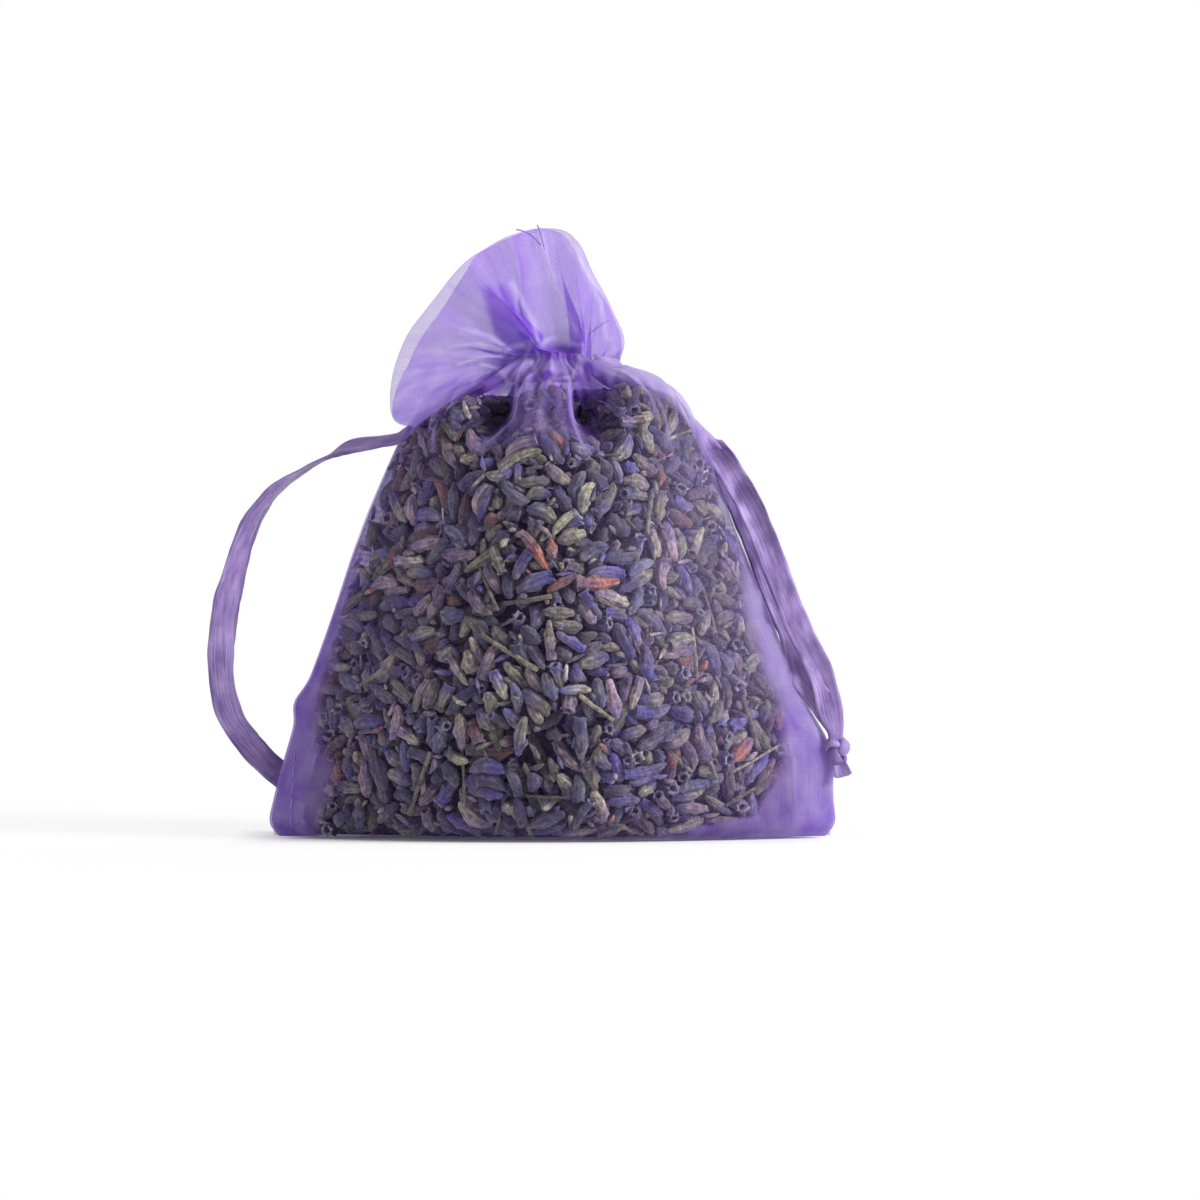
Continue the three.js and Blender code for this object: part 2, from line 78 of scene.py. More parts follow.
# The filled pouch from the base up: half width, half depth and height at each level
BASE_HEIGHT = 0.25
WAIST_HEIGHT = 36.0
SHOULDER_HEIGHT = 50.0
CREST_HEIGHT = 55.4
COLLAR_HEIGHT = 57.2
COLLAR_TOP = 58.0
NECK_HEIGHT = 59.2
CHANNEL_TOP = 60.0
LEVELS = [
    (33.9, 9.0, BASE_HEIGHT),
    (35.0, 11.2, 1.9),
    (34.5, 13.5, 5.0),
    (31.0, 16.5, 17.0),
    (23.7, 15.5, WAIST_HEIGHT),
    (17.4, 11.9, 52.0),
    (14.6, 10.2, CREST_HEIGHT),
    (11.0, 7.8, COLLAR_HEIGHT),
    (7.6, 5.6, 58.4),
    (5.5, 4.0, NECK_HEIGHT),
    (5.0, 3.6, CHANNEL_TOP),
]
BASE_HALF_WIDTH, BASE_HALF_DEPTH = LEVELS[0][:2]
CREST_SHARE = 6 / 10
COLLAR_SHARE = 7 / 10
PINCH = 1.15
SEAM_HALF_GAP = 0.15
SLIT_HALF_WIDTH = 1.5
SHOULDER_TILT = {LEFT: 1.1, RIGHT: 0.35}
SIDE_DROP = 1.3
SHOULDER_LEAN = 1.2
BACK_DROP = 0.7
RIDGE_FRONT, RIDGE_WIDTH, RIDGE_ABOVE = 4.2, 1.3, -0.1
TILT_START_HEIGHT = 48.0
FLAT_WIDTH = 75.0
FLAT_LENGTH = 95.0

# Bulges of the side edges: hand, how far out, height, half span, and the part of s over which each grows
EDGE_BULGES = [
    (LEFT, 0.9, 16.8, 1.9, 0.9, 0.98),
    (LEFT, 0.8, 38.0, 9.0, 0.6, 1.0),
    (RIGHT, 1.7, 11.0, 5.0, 0.6, 1.0),
]

# Folds: broad ones on the shoulder and in the ruffle, tight gathers at the neck, and a tongue of cloth
# between two pockets below the neck's front
BROAD_FOLDS = 4
FOLD_START_HEIGHT = 42.0
SHOULDER_FOLD_DEPTH = 0.8
NECK_FOLD_DEPTH = 0.5
GATHER_START_HEIGHT = 45.0
GATHER_DEPTH = 1.75
GATHER_LEAN = 0.5
GATHER_SEED = 2.0
FRONT_CALM = 0.85
TONGUE_MIDDLE = -1.0
TONGUE_HALF_WIDTH = 3.3
TONGUE_FLARE = {LEFT: 2.07e-3, RIGHT: 8.3e-4}
TONGUE_FLARE_POWER = 3.5
POCKET_DEPTH = 4.2
POCKET_FOOT = (47.5, 53.0)
POCKET_TOP = (55.8, 58.4)
SWAG_WIDTH = 0.42
SWAG_FOOT = (46.5, 50.0)

# Folds of the front panel as seen from the front, x and z: the lines of its sharp creases, the corners
# of a fold that lies doubled, and hollows between folds with their half width and half height
# The creases are painted paler as highlights and the hollows painted darker as shade.
CREASE_LINES = [
    [(-4.9, 68.4), (-3.4, 65.9), (-2.1, 63.4), (-1.7, 61.5)],
    [(-1.5, 74.8), (-0.4, 70.9), (0.9, 66.8), (3.0, 62.7)],
    [(-1.4, 60.8), (-0.6, 61.6), (0.8, 62.0), (2.4, 61.4), (3.7, 61.0)],
    [(1.6, 74.4), (4.2, 70.0), (6.2, 65.6), (6.6, 62.0)],
    [(-11.0, 62.6), (-8.2, 62.2), (-6.0, 61.0)],
    [(-12.6, 60.5), (-9.4, 60.9), (-6.4, 60.3)],
    [(-11.6, 58.4), (-9.0, 59.2), (-6.2, 59.5)],
    [(-5.6, 60.2), (-4.2, 60.9), (-2.6, 61.3)],
    [(-2.6, 61.1), (-3.2, 59.4), (-4.0, 57.5), (-4.4, 56.2)],
    [(-2.6, 58.9), (-1.6, 57.0), (-1.0, 56.2), (0.3, 56.5), (2.2, 56.9)],
    [(2.4, 56.8), (3.2, 58.8), (3.4, 60.6)],
    [(-8.7, 58.5), (-6.8, 58.0), (-5.2, 56.4)],
]
CREASE_WIDTH = 0.36
CREASE_HEIGHT = 0.3
DOUBLED_FOLD = [(-8.9, 68.2), (-6.7, 60.4), (-2.0, 61.0), (-3.3, 65.6), (-5.8, 68.4)]
HOLLOWS = [(0.75, 60.3, 2.0, 1.2), (-0.5, 57.1, 0.8, 0.5), (4.4, 57.6, 0.7, 1.4)]
RUFFLE_HOLLOW = (-1.5, 66.0, 6.5, 7.0)

# Painted sheen on the cloth over the lavender, and painted light that makes the front paler towards the right
PAINTED_SHEEN, RIGHT_PAINTED_LIGHT = 0.45, 0.75

# The ruffle's rim, from the left seam to the right one, from the middle of the channel's top
RUFFLE_RIM = [
    (-16.8, -9.0, -9.3),
    (-19.2, -8.4, -8.3),
    (-19.5, -7.4, -3.6),
    (-17.9, -6.0, 1.4),
    (-14.4, -4.2, 6.6),
    (-10.0, -2.4, 11.8),
    (-5.0, -0.6, 14.5),
    (-1.4, 0.3, 15.5),
    (1.8, 1.0, 14.8),
    (4.8, 1.9, 9.9),
    (7.4, 3.0, 5.4),
    (8.8, 3.8, 2.0),
    (8.4, 4.6, -0.8),
]
RUFFLE_KNEE_RISE = 1.6
RUFFLE_KNEE_DROP = -1.6
RUFFLE_KNEE_OUT = 0.25
RUFFLE_KNEE_FORWARD = 0.75
RUFFLE_SPREAD = 5.0
RUFFLE_DEPTH = 1.4
RUFFLE_OVERLAP = 2.6
FRONT_RIM_SHORT = 1.6

# Seam allowances of each side, wide low down and narrow above, and the line of stitches beside them
SEAM_WIDTHS = {LEFT: (7.0, 5.0), RIGHT: (8.0, 4.0)}
SEAM_COVER = {LEFT: 0.85, RIGHT: 0.7}
STITCH_TOP = 13.0
STITCH_INSETS = (2.7, 1.0)
STITCH_LIFT = 0.12
STITCH_HALF_THICKNESS = 0.08
LOOSE_THREAD_HALF_THICKNESS = 0.09

# Cloth mesh
COLUMNS = 320
BODY_ROWS = 130
FLOOR_ROWS = 6
RUFFLE_ROWS = 44

# Ribbons. A turn is the share of the free strand and the degrees it is turned from flat to facing the front
RIBBON_WIDTH = 3.2
RIBBON_THICKNESS = 0.24
CHANNEL_RIBBON_WIDTH = 1.4
ARM_OFFSET = 0.75
ARM_PLACES = (3.0, 6.8)
HAIRPIN_REACH = 5.2
BIGHT_REACH = 4.0
FLAT_FROM, FLAT_TO = 6.4, 9.8
TURNS = {
    "left": [
        (-0.1, 0), (0.0, -24), (0.08, -27), (0.14, 0), (0.24, 18), (0.31, 28), (0.38, 42),
        (0.44, 56), (0.5, 72), (0.58, 90),
    ],
    "right": [(-0.04, 0), (0.12, 90)],
}
BACK_TURNS = {"left": 0.6, "right": 1.0}
STRAND_SEEDS = {"left": 11, "right": 17}
STRAND_CUP = {"left": 0.0, "right": 0.4}
CUP_WANDER = 0.4
STRAND_RIPPLE = {"left": 0.03, "right": 0.16}
LEAST_RIPPLE = 0.03
KNOT_REACH = 1.2
KNOT_SQUEEZE, SQUEEZED_LENGTH = 0.55, 4.0
KNOT_SIZE = (0.62, 0.36, 0.5)
KNOT_BAND = (0.95, 0.5)
TAIL_WIDTH = 2.2
TAIL_STEP = 0.3

# How far each strand is moved off its route: on its free part, above the first height and below the
# second, and on the shoulder
STRAND_SHIFTS = {
    ("left", "front"): [(0.1, 0.0, 0.0), (0.2, 0.0, 0.0)],
    ("left", "back"): [(-0.1, 2.2, -0.3), (-0.2, 0.6, 0.0)],
    ("right", "front"): [(-1.4, 3.3, 0.0), (-3.1, 1.4, 0.0)],
    ("right", "back"): [(0.0, -1.6, 0.0), (0.6, -0.9, 0.0)],
}
SHIFT_HEIGHTS = (27.0, 20.0)
SHOULDER_SHIFTS = {
    ("left", "front"): (2.2, 2.2, -0.7),
    ("left", "back"): (2.2, 1.4, -0.8),
    ("right", "front"): (0.0, 3.0, -0.6),
    ("right", "back"): (0.0, 2.4, -1.0),
}
RIBBON_STEP = 0.45
ROUTES = {
    "left": {
        "hand": LEFT,
        "height": 57.2,
        "length": 0.088,
        "shoulder": [
            (-9.2, -1.7, 57.4), (-12, -1.9, 57.3), (-14.6, -1.9, 56.2), (-17.2, -1.9, 54.1),
            (-18.9, -1.9, 51.9), (-20.3, -1.9, 50.9),
        ],
        "front": [
            (-20.85, -1.9, 50.3), (-23.5, -1.7, 49.2), (-27, -1.5, 47.7), (-30.6, -1.3, 45.8),
            (-34.4, -1.2, 43), (-37.6, -1, 38.7), (-39.7, -0.8, 33), (-40.9, -0.5, 26),
            (-41.2, 0, 20), (-40.1, 1.2, 15), (-37.2, 3.2, 10.6), (-33.4, 6, 6.9),
            (-29.6, 9.4, 4.4), (-27.3, 11.7, 3.3),
        ],
        "back": [
            (-20.85, 1.9, 50.3), (-23.5, 1.9, 49.2), (-27, 1.8, 47.8), (-30.6, 1.6, 45.9),
            (-34.2, 0.9, 43), (-37.2, 0.7, 38.7), (-39.3, 0.8, 33), (-40.5, 1, 26),
            (-41, 1.6, 20), (-39.8, 2.9, 15), (-36.9, 5, 10.7), (-33, 7.8, 7.2),
            (-28.8, 11, 4.8), (-26.6, 13, 3.6),
        ],
        "knot": (-25, 14.2, 2.5),
        "knot_direction": (-0.72, -0.69, 0.2),
        "tails": [
            [(-23.6, 14.9, 2.3), (-22.5, 15.4, 2.1), (-21.3, 15.6, 1.9), (-19.8, 15.6, 1.5)],
            [(-24.0, 15.6, 2.2), (-23.4, 16.5, 2), (-22.6, 17.6, 1.8), (-22, 19, 1.5)],
        ],
        "bend": [(-18.6, 0, 52.4), (-23.2, 0, 49.6)],
    },
    "right": {
        "hand": RIGHT,
        "height": 59.0,
        "length": 0.063,
        "shoulder": [
            (9.2, -1.7, 58.6), (11.6, -1.9, 57.7), (14, -1.9, 56.3), (16, -1.9, 54.5), (17.5, -1.9, 52.2),
        ],
        "front": [
            (18, -1.9, 51.4), (19.8, -1.9, 48.9), (21.8, -1.9, 46.1), (24, -1.9, 42.6),
            (25.9, -1.8, 38.6), (27.6, -1.7, 34.2), (29.2, -1.7, 29.8), (31.2, -1.7, 25.6),
            (33.2, -1.6, 21.8), (34.5, -1.5, 18), (34.9, -1.4, 15.4), (35.1, -1.2, 13.7),
        ],
        "back": [
            (18, 1.9, 51.4), (19.9, 1.8, 48.7), (22.1, 1.5, 45.3), (24.4, 1.2, 41.4),
            (26.2, 0.9, 37.2), (27.8, 0.7, 33), (29.3, 0.6, 29), (30.9, 0.5, 25),
            (32.4, 0.5, 21.2), (33.7, 0.4, 17.6), (34.5, 0.3, 15), (35, 0.2, 13.7),
        ],
        "knot": (35.3, -0.5, 11),
        "knot_direction": (-0.08, 0, 1),
        "tails": [
            [(35.5, -0.9, 9.8), (35.7, -1.1, 9.0), (35.9, -1.4, 8.4), (36.1, -1.8, 7.8)],
            [(35.5, 0.0, 9.8), (35.6, 0.4, 9.0), (35.7, 0.8, 8.4), (35.8, 1.4, 7.6)],
        ],
        "bend": [(17.2, 0, 54.2), (20.2, 0, 49.2)],
    },
}

# Lavender. The reach is the height and how far the lavender lies from the middle there, beside the
# empty corners
FILL_REACH = {
    LEFT: [
        (2, 29.8), (5.5, 28.4), (9, 27.8), (12, 29.6), (17, 29.4), (25, 27.2), (29, 26.4), (36, 24.8),
        (60, 24.8),
    ],
    RIGHT: [(0, 24.2), (3.5, 26), (9.5, 29.4), (17, 29), (23, 26.2), (29, 24.6), (36, 24.3), (60, 24.3)],
}
BUD_SEED = 7
OUTER_BUDS, MIDDLE_BUDS, INNER_BUDS = 700, 620, 540
CRUMBS = 760
STEMS = 70
LEAVES = 26
LEAF_WIDENING = 2.0
LAYER_DEPTHS = (1.1, 2.7, 4.3)
LAYER_TILTS = (0.4, 0.5, 0.6)
LAYER_PRESS = (0.16, 0.08, 0.03)
# How bright each layer's buds are painted: darker deeper in, as painted shade.
LAYER_LIGHT = (1.0, 0.72, 0.5)
ON_END_SHARE = 0.06
SKIN_GAP = 0.2
FLOOR_GAP = 0.45
SHOULDER_ROOM, SHOULDER_ROOM_HEIGHTS = 0.8, (46.0, 55.0)
FILL_SUNK = 1.7
FILL_TOP = 57.6
PACK_STEPS = 46
PAIR_STEPS, PAIR_REACH = 4, 6.4
PACK_CLOSENESS, PACK_PUSH = 0.94, 0.3
CORE_DEPTH = 4.6
BUD_SIDES = 14
BUD_VARIANTS = 8

# Lengths and half thicknesses: a bud's mean, spread, least and most, and the others' least and most
BUD_LENGTH = (4.2, 0.8, 2.4, 5.8)
BUD_RADIUS = (0.93, 0.13, 0.65, 1.2)
OTHER_SIZES = {
    "crumb": (0.9, 2.6, 0.2, 0.42),
    "stem": (4.0, 9.0, 0.18, 0.34),
    "leaf": (5.0, 8.5, 0.4, 0.55),
}

# Along a piece of lavender, from a bud's stem end to its mouth: share of the length, half thickness
OPEN_BUD = [
    (0.0, 0.22), (0.05, 0.45), (0.16, 0.68), (0.34, 0.88), (0.55, 1.0), (0.74, 0.96), (0.88, 0.86),
    (0.97, 0.92), (1.0, 0.9), (0.985, 0.66), (0.88, 0.5), (0.76, 0.12),
]
OPEN_BUD_RIM = (8, 9)
CLOSED_BUD = [
    (0.0, 0.2), (0.04, 0.42), (0.13, 0.68), (0.3, 0.9), (0.5, 1.0), (0.68, 0.93), (0.83, 0.72),
    (0.93, 0.5), (0.985, 0.3), (1.0, 0.1),
]
STALK = [
    (0.0, 0.5), (0.01, 0.95), (0.2, 1.0), (0.4, 0.85), (0.6, 1.0), (0.8, 0.9), (0.99, 0.95), (1.0, 0.5),
]
LEAF = [(0.0, 0.1), (0.05, 0.4), (0.25, 0.85), (0.5, 1.0), (0.75, 0.8), (0.95, 0.35), (1.0, 0.08)]
CRUMB = [(0.0, 0.15), (0.15, 0.7), (0.5, 1.0), (0.8, 0.75), (1.0, 0.2)]
OUTLINES = {"bud": (OPEN_BUD, CLOSED_BUD), "crumb": (CRUMB,), "stem": (STALK,), "leaf": (LEAF,)}


def srgb(red, green, blue):
    """A colour given as 0 to 255 on screen, as the shader's linear colour."""
    share = np.array([red, green, blue]) / 255
    return np.where(share <= 0.04045, share / 12.92, ((share + 0.055) / 1.055) ** 2.4)


def smoothstep(value, low, high):
    share = np.clip((np.asarray(value, float) - low) / (high - low), 0, 1)
    return share * share * (3 - 2 * share)


def lerp(low, high, share):
    return low + (high - low) * share


def unit(vectors):
    return vectors / np.maximum(np.linalg.norm(vectors, axis=-1, keepdims=True), 1e-12)


def wander(along, seed, waves=5):
    """A smooth random line between about -1 and 1."""
    rng = np.random.default_rng(seed)
    rates = rng.uniform(0.5, 1.7, waves)
    phases = rng.uniform(0, 2 * math.pi, waves)
    return sum(np.sin(along * rate + phase) for rate, phase in zip(rates, phases)) / math.sqrt(waves)


def smooth_curve(places, shares):
    """Points of a centripetal Catmull-Rom curve, at shares from 0 to 1 counted in equal spans."""
    places = np.asarray(places, float)
    padded = np.vstack([2 * places[0] - places[1], places, 2 * places[-1] - places[-2]])
    spans = len(places) - 1
    at = np.clip(np.asarray(shares, float) * spans, 0, spans - 1e-9)
    first = at.astype(int)
    w = (at - first)[..., None]
    p0, p1, p2, p3 = (padded[first + k] for k in range(4))

    def root(a, b):
        return np.maximum(np.sum((b - a) ** 2, axis=-1, keepdims=True) ** 0.25, 1e-4)

    d0, d1, d2 = root(p0, p1), root(p1, p2), root(p2, p3)
    m1 = ((p1 - p0) / d0 - (p2 - p0) / (d0 + d1) + (p2 - p1) / d1) * d1
    m2 = ((p2 - p1) / d1 - (p3 - p1) / (d1 + d2) + (p3 - p2) / d2) * d1
    return p1 + m1 * w + (3 * (p2 - p1) - 2 * m1 - m2) * w**2 + (2 * (p1 - p2) + m1 + m2) * w**3


def run_length(points):
    """Distance along a line of points, from 0 at its start."""
    steps = np.linalg.norm(np.diff(points, axis=0), axis=1)
    return np.concatenate([[0], np.cumsum(steps)])


def even_path(places, step):
    """Points at an even step along the smooth curve through places."""
    fine = smooth_curve(places, np.linspace(0, 1, 40 * len(places)))
    run = run_length(fine)
    targets = np.linspace(0, run[-1], max(int(round(run[-1] / step)), 2) + 1)
    return np.column_stack([np.interp(targets, run, fine[:, k]) for k in range(3)])


# Making meshes


def add_piece(name, points, faces, material, uv=None, colours=None, values=None):
    """A smooth mesh object. faces is an array with one row of corner numbers for each face."""
    faces = np.asarray(faces, np.int32)
    sides = faces.shape[1]
    mesh = bpy.data.meshes.new(name)
    mesh.vertices.add(len(points))
    mesh.vertices.foreach_set("co", (np.asarray(points, float) * MM).astype(np.float32).ravel())
    mesh.loops.add(faces.size)
    mesh.loops.foreach_set("vertex_index", faces.ravel())
    mesh.polygons.add(len(faces))
    mesh.polygons.foreach_set("loop_start", np.arange(0, faces.size, sides, dtype=np.int32))
    mesh.polygons.foreach_set("use_smooth", np.ones(len(faces), bool))
    if uv is not None:
        layer = mesh.uv_layers.new(name="cloth")
        layer.data.foreach_set("uv", uv[faces.ravel()].astype(np.float32).ravel())
    if colours is not None:
        layer = mesh.attributes.new("bud_colour", "FLOAT_COLOR", "POINT")
        layer.data.foreach_set("color", colours.astype(np.float32).ravel())
    for key, numbers in (values or {}).items():
        layer = mesh.attributes.new(key, "FLOAT", "POINT")
        layer.data.foreach_set("value", numbers.astype(np.float32).ravel())
    mesh.update()
    mesh.validate()
    mesh.materials.append(material)
    piece = bpy.data.objects.new(name, mesh)
    bpy.context.scene.collection.objects.link(piece)
    return piece


def grid_faces(rows, columns, wrap=False):
    """Four-cornered faces of a grid of points numbered row by row. wrap joins each row's end to its start."""
    across = columns if wrap else columns - 1
    j, i = np.meshgrid(np.arange(rows - 1), np.arange(across), indexing="ij")
    here = (j * columns + i).ravel()
    beside = (j * columns + (i + 1) % columns).ravel()
    return np.column_stack([here, beside, beside + columns, here + columns])


def tube(path, halves, sides=8):
    """Points and faces of a tube along path, closed by small end rings. halves is its half thickness."""
    tangent = unit(np.gradient(path, axis=0))
    flat = unit(np.cross(tangent, np.where(np.abs(tangent[:, 2:]) > 0.9, BACKWARDS, UP)))
    third = np.cross(tangent, flat)
    angle = np.linspace(0, 2 * math.pi, sides, endpoint=False)
    halves = np.broadcast_to(halves, len(path)).copy()
    round_part = flat[:, None] * np.cos(angle)[None, :, None] + third[:, None] * np.sin(angle)[None, :, None]
    rings = path[:, None] + round_part * halves[:, None, None]
    ends = [path[0] + (rings[0] - path[0]) * 0.02, path[-1] + (rings[-1] - path[-1]) * 0.02]
    rings = np.concatenate([ends[0][None], rings, ends[1][None]])
    return rings.reshape(-1, 3), grid_faces(len(rings), sides, wrap=True)


def join(shapes):
    """Several (points, faces) as one."""
    points, faces, count = [], [], 0
    for some_points, some_faces in shapes:
        points.append(some_points)
        faces.append(some_faces + count)
        count += len(some_points)
    return np.vstack(points), np.vstack(faces)


# Materials


def new_tree(name):
    material = bpy.data.materials.new(name)
    material.use_nodes = True
    material.node_tree.nodes.clear()
    return material, material.node_tree


def node(tree, kind, settings=None, **inputs):
    """A shader node. An input is a number, a colour or another node's output; _ in its name is a space."""
    made = tree.nodes.new(kind)
    for key, value in (settings or {}).items():
        setattr(made, key, value)
    for key, value in inputs.items():
        plug(tree, made.inputs[key.replace("_", " ")], value)
    return made


def plug(tree, socket, value):
    if isinstance(value, bpy.types.NodeSocket):
        tree.links.new(value, socket)
    elif socket.type == "RGBA":
        socket.default_value = (*value[:3], 1.0)
    else:
        socket.default_value = value


def calc(tree, operation, *values):
    made = tree.nodes.new("ShaderNodeMath")
    made.operation = operation
    for socket, value in zip(made.inputs, values):
        plug(tree, socket, value)
    return made.outputs[0]


def times(tree, first, second):
    return calc(tree, "MULTIPLY", first, second)


def plus(tree, first, second):
    return calc(tree, "ADD", first, second)


def blend_colours(tree, share, first, second, mode="MIX"):
    made = tree.nodes.new("ShaderNodeMix")
    made.data_type = "RGBA"
    made.blend_type = mode
    plug(tree, made.inputs["Factor"], share)
    plug(tree, made.inputs["A"], first)
    plug(tree, made.inputs["B"], second)
    return made.outputs["Result"]


def noise(tree, place, scale, detail=3.0, stretch=None):
    """Noise at a place, between about 0 and 1, stretched by a factor along each axis."""
    if stretch is not None:
        place = node(tree, "ShaderNodeMapping", Vector=place, Scale=stretch).outputs[0]
    return node(tree, "ShaderNodeTexNoise", Vector=place, Scale=scale, Detail=detail).outputs["Fac"]


def object_place(tree):
    return node(tree, "ShaderNodeTexCoord").outputs["Object"]


def mesh_value(tree, name, output="Fac"):
    """A value that the mesh gives for each of its points."""
    return node(tree, "ShaderNodeAttribute", {"attribute_name": name}).outputs[output]


def bump(tree, height, strength, distance):
    return node(tree, "ShaderNodeBump", Height=height, Strength=strength, Distance=distance).outputs[0]


def mix_shaders(tree, share, first, second):
    """The first shader, giving way to the second by a share from 0 to 1."""
    mix = node(tree, "ShaderNodeMixShader", Fac=share)
    tree.links.new(first.outputs[0], mix.inputs[1])
    tree.links.new(second.outputs[0], mix.inputs[2])
    return mix


def finish_material(tree, shader):
    node(tree, "ShaderNodeOutputMaterial", Surface=shader)


def weave_of(tree, pitch):
    """The cloth's own coordinates, in millimetres, and a plain weave's height there, from 0 to 1."""
    cloth = node(tree, "ShaderNodeUVMap", {"uv_map": "cloth"}).outputs[0]
    split = node(tree, "ShaderNodeSeparateXYZ", Vector=cloth)
    rate = 2 * math.pi / pitch
    waves = [calc(tree, "SINE", times(tree, split.outputs[k], rate)) for k in (0, 1)]
    return cloth, calc(tree, "MULTIPLY_ADD", calc(tree, "MAXIMUM", *waves), 0.5, 0.5)


def organza_material(name, colour, deep_colour):
    """Sheer cloth: clear between its threads, with more thread where the cloth is gathered or doubled.

    The mesh gives the thread's cover, and a tone from -1, deep violet, over 0 to 1, pale, that carries
    painted light and shade on the folds and the deeper violet of doubled cloth."""
    material, tree = new_tree(name)
    cloth, weave = weave_of(tree, 0.3)
    thread_cover = mesh_value(tree, "thread_cover")
    warp = noise(tree, cloth, 1.0, 3.0, (4.6, 0.2, 1.0))
    weft = noise(tree, cloth, 1.0, 3.0, (0.2, 4.6, 1.0))
    streaks = plus(tree, warp, times(tree, weft, 0.6))
    cover = plus(tree, times(tree, streaks, 0.4), times(tree, weave, 0.3))
    cover = plus(tree, cover, 0.45)
    alpha = calc(tree, "MINIMUM", times(tree, thread_cover, cover), 0.97)
    # Paler and deeper patches of tone at random across the cloth.
    patchy_tone = calc(tree, "MULTIPLY_ADD", noise(tree, cloth, 1.0, 3.0, (0.45, 0.25, 1.0)), 1.4, -0.7)
    painted_light_and_fold_tone = plus(tree, mesh_value(tree, "painted_light_and_fold_tone"), patchy_tone)
    tone = blend_colours(tree, noise(tree, cloth, 0.16, 3.0), colour, deep_colour)
    # Paler where the mesh paints light, and deeper violet where it paints shade and where the cloth lies
    # doubled.
    tone = blend_colours(tree, painted_light_and_fold_tone, tone, srgb(206, 190, 238))
    tone = blend_colours(tree, times(tree, painted_light_and_fold_tone, -1.0), tone, srgb(168, 68, 238))
    threads = node(
        tree, "ShaderNodeBsdfPrincipled", Base_Color=tone, Roughness=0.5, Specular_IOR_Level=0.35,
        Sheen_Weight=0.25, Sheen_Roughness=0.4, Sheen_Tint=(0.95, 0.9, 1.0),
        Normal=bump(tree, cover, 0.25, 0.0002),
    )
    through = node(tree, "ShaderNodeBsdfTranslucent", Color=tone)
    fabric = mix_shaders(tree, 0.55, threads, through)
    surface = mix_shaders(tree, alpha, node(tree, "ShaderNodeBsdfTransparent"), fabric)
    finish_material(tree, surface.outputs[0])
    return material


def satin_material():
    """Ribbon satin: long streaks along the ribbon, in its roughness and bump and as painted sheen in its
    colour, and a sheen across it.
    """
    material, tree = new_tree("ribbon_satin")
    cloth = node(tree, "ShaderNodeUVMap", {"uv_map": "cloth"}).outputs[0]
    streaks = noise(tree, cloth, 1.0, 2.0, (5.0, 0.22, 1.0))
    ribs = noise(tree, cloth, 1.0, 1.0, (0.5, 3.2, 1.0))
    patches = noise(tree, cloth, 1.0, 3.0, (0.5, 0.28, 1.0))
    # Painted sheen: the tone runs from dark to pale violet with the streaks and patches.
    painted_satin_sheen = times(tree, plus(tree, streaks, patches), 0.5)
    painted_satin_sheen = node(tree, "ShaderNodeMapRange", Value=painted_satin_sheen, From_Min=0.34, From_Max=0.66).outputs[0]
    tone = blend_colours(tree, painted_satin_sheen, srgb(84, 62, 128), srgb(170, 146, 196))
    # The tone shifts towards a mid violet with the ribs across the ribbon.
    rib_tone = blend_colours(tree, times(tree, ribs, 0.35), tone, srgb(126, 102, 170))
    rough = calc(tree, "MULTIPLY_ADD", streaks, 0.25, 0.42)
    height = plus(tree, times(tree, streaks, 0.6), times(tree, ribs, 0.7))
    satin = node(
        tree, "ShaderNodeBsdfPrincipled", Base_Color=rib_tone, Roughness=rough, Specular_IOR_Level=0.4,
        Sheen_Weight=0.35, Sheen_Roughness=0.35, Sheen_Tint=(0.85, 0.75, 1.0),
        Normal=bump(tree, height, 0.12, 0.0003),
    )
    finish_material(tree, satin.outputs[0])
    return material


def bud_material():
    """Dry calyx: its own colour, mottled, with a fine pale down."""
    material, tree = new_tree("lavender_buds")
    place = object_place(tree)
    own = mesh_value(tree, "bud_colour", "Color")
    mottle = noise(tree, place, 1300.0, 4.0)
    mottle = node(tree, "ShaderNodeMapRange", Value=mottle, From_Min=0.32, From_Max=0.66).outputs[0]
    grain = noise(tree, place, 5200.0, 3.0)
    dark = blend_colours(tree, 1.0, own, srgb(150, 142, 160), "MULTIPLY")
    tone = blend_colours(tree, mottle, dark, own)
    downy = blend_colours(tree, times(tree, grain, 0.12), tone, srgb(176, 172, 186))
    height = plus(tree, mottle, times(tree, grain, 0.6))
    dry = node(
        tree, "ShaderNodeBsdfPrincipled", Base_Color=downy, Roughness=0.82, Specular_IOR_Level=0.25,
        Sheen_Weight=0.25, Sheen_Roughness=0.4, Normal=bump(tree, height, 0.9, 0.0003),
    )
    finish_material(tree, dry.outputs[0])
    return material


def core_material():
    """The shaded mass of lavender behind the outer buds."""
    material, tree = new_tree("lavender_mass")
    lumps = noise(tree, object_place(tree), 420.0, 5.0)
    # Its dark tone is painted shade of the lavender deep inside.
    tone = blend_colours(tree, lumps, srgb(22, 18, 30), srgb(58, 52, 66))
    uneven = bump(tree, lumps, 1.0, 0.002)
    dry = node(tree, "ShaderNodeBsdfPrincipled", Base_Color=tone, Roughness=0.95, Normal=uneven)
    finish_material(tree, dry.outputs[0])
    return material


def thread_material():
    """Sewing thread, a shade lighter than the cloth."""
    material, tree = new_tree("sewing_thread")
    strands = noise(tree, object_place(tree), 3000.0, 2.0)
    tone = blend_colours(tree, strands, srgb(112, 86, 170), srgb(152, 126, 204))
    thread = node(tree, "ShaderNodeBsdfPrincipled", Base_Color=tone, Roughness=0.55, Sheen_Weight=0.3)
    finish_material(tree, thread.outputs[0])
    return material


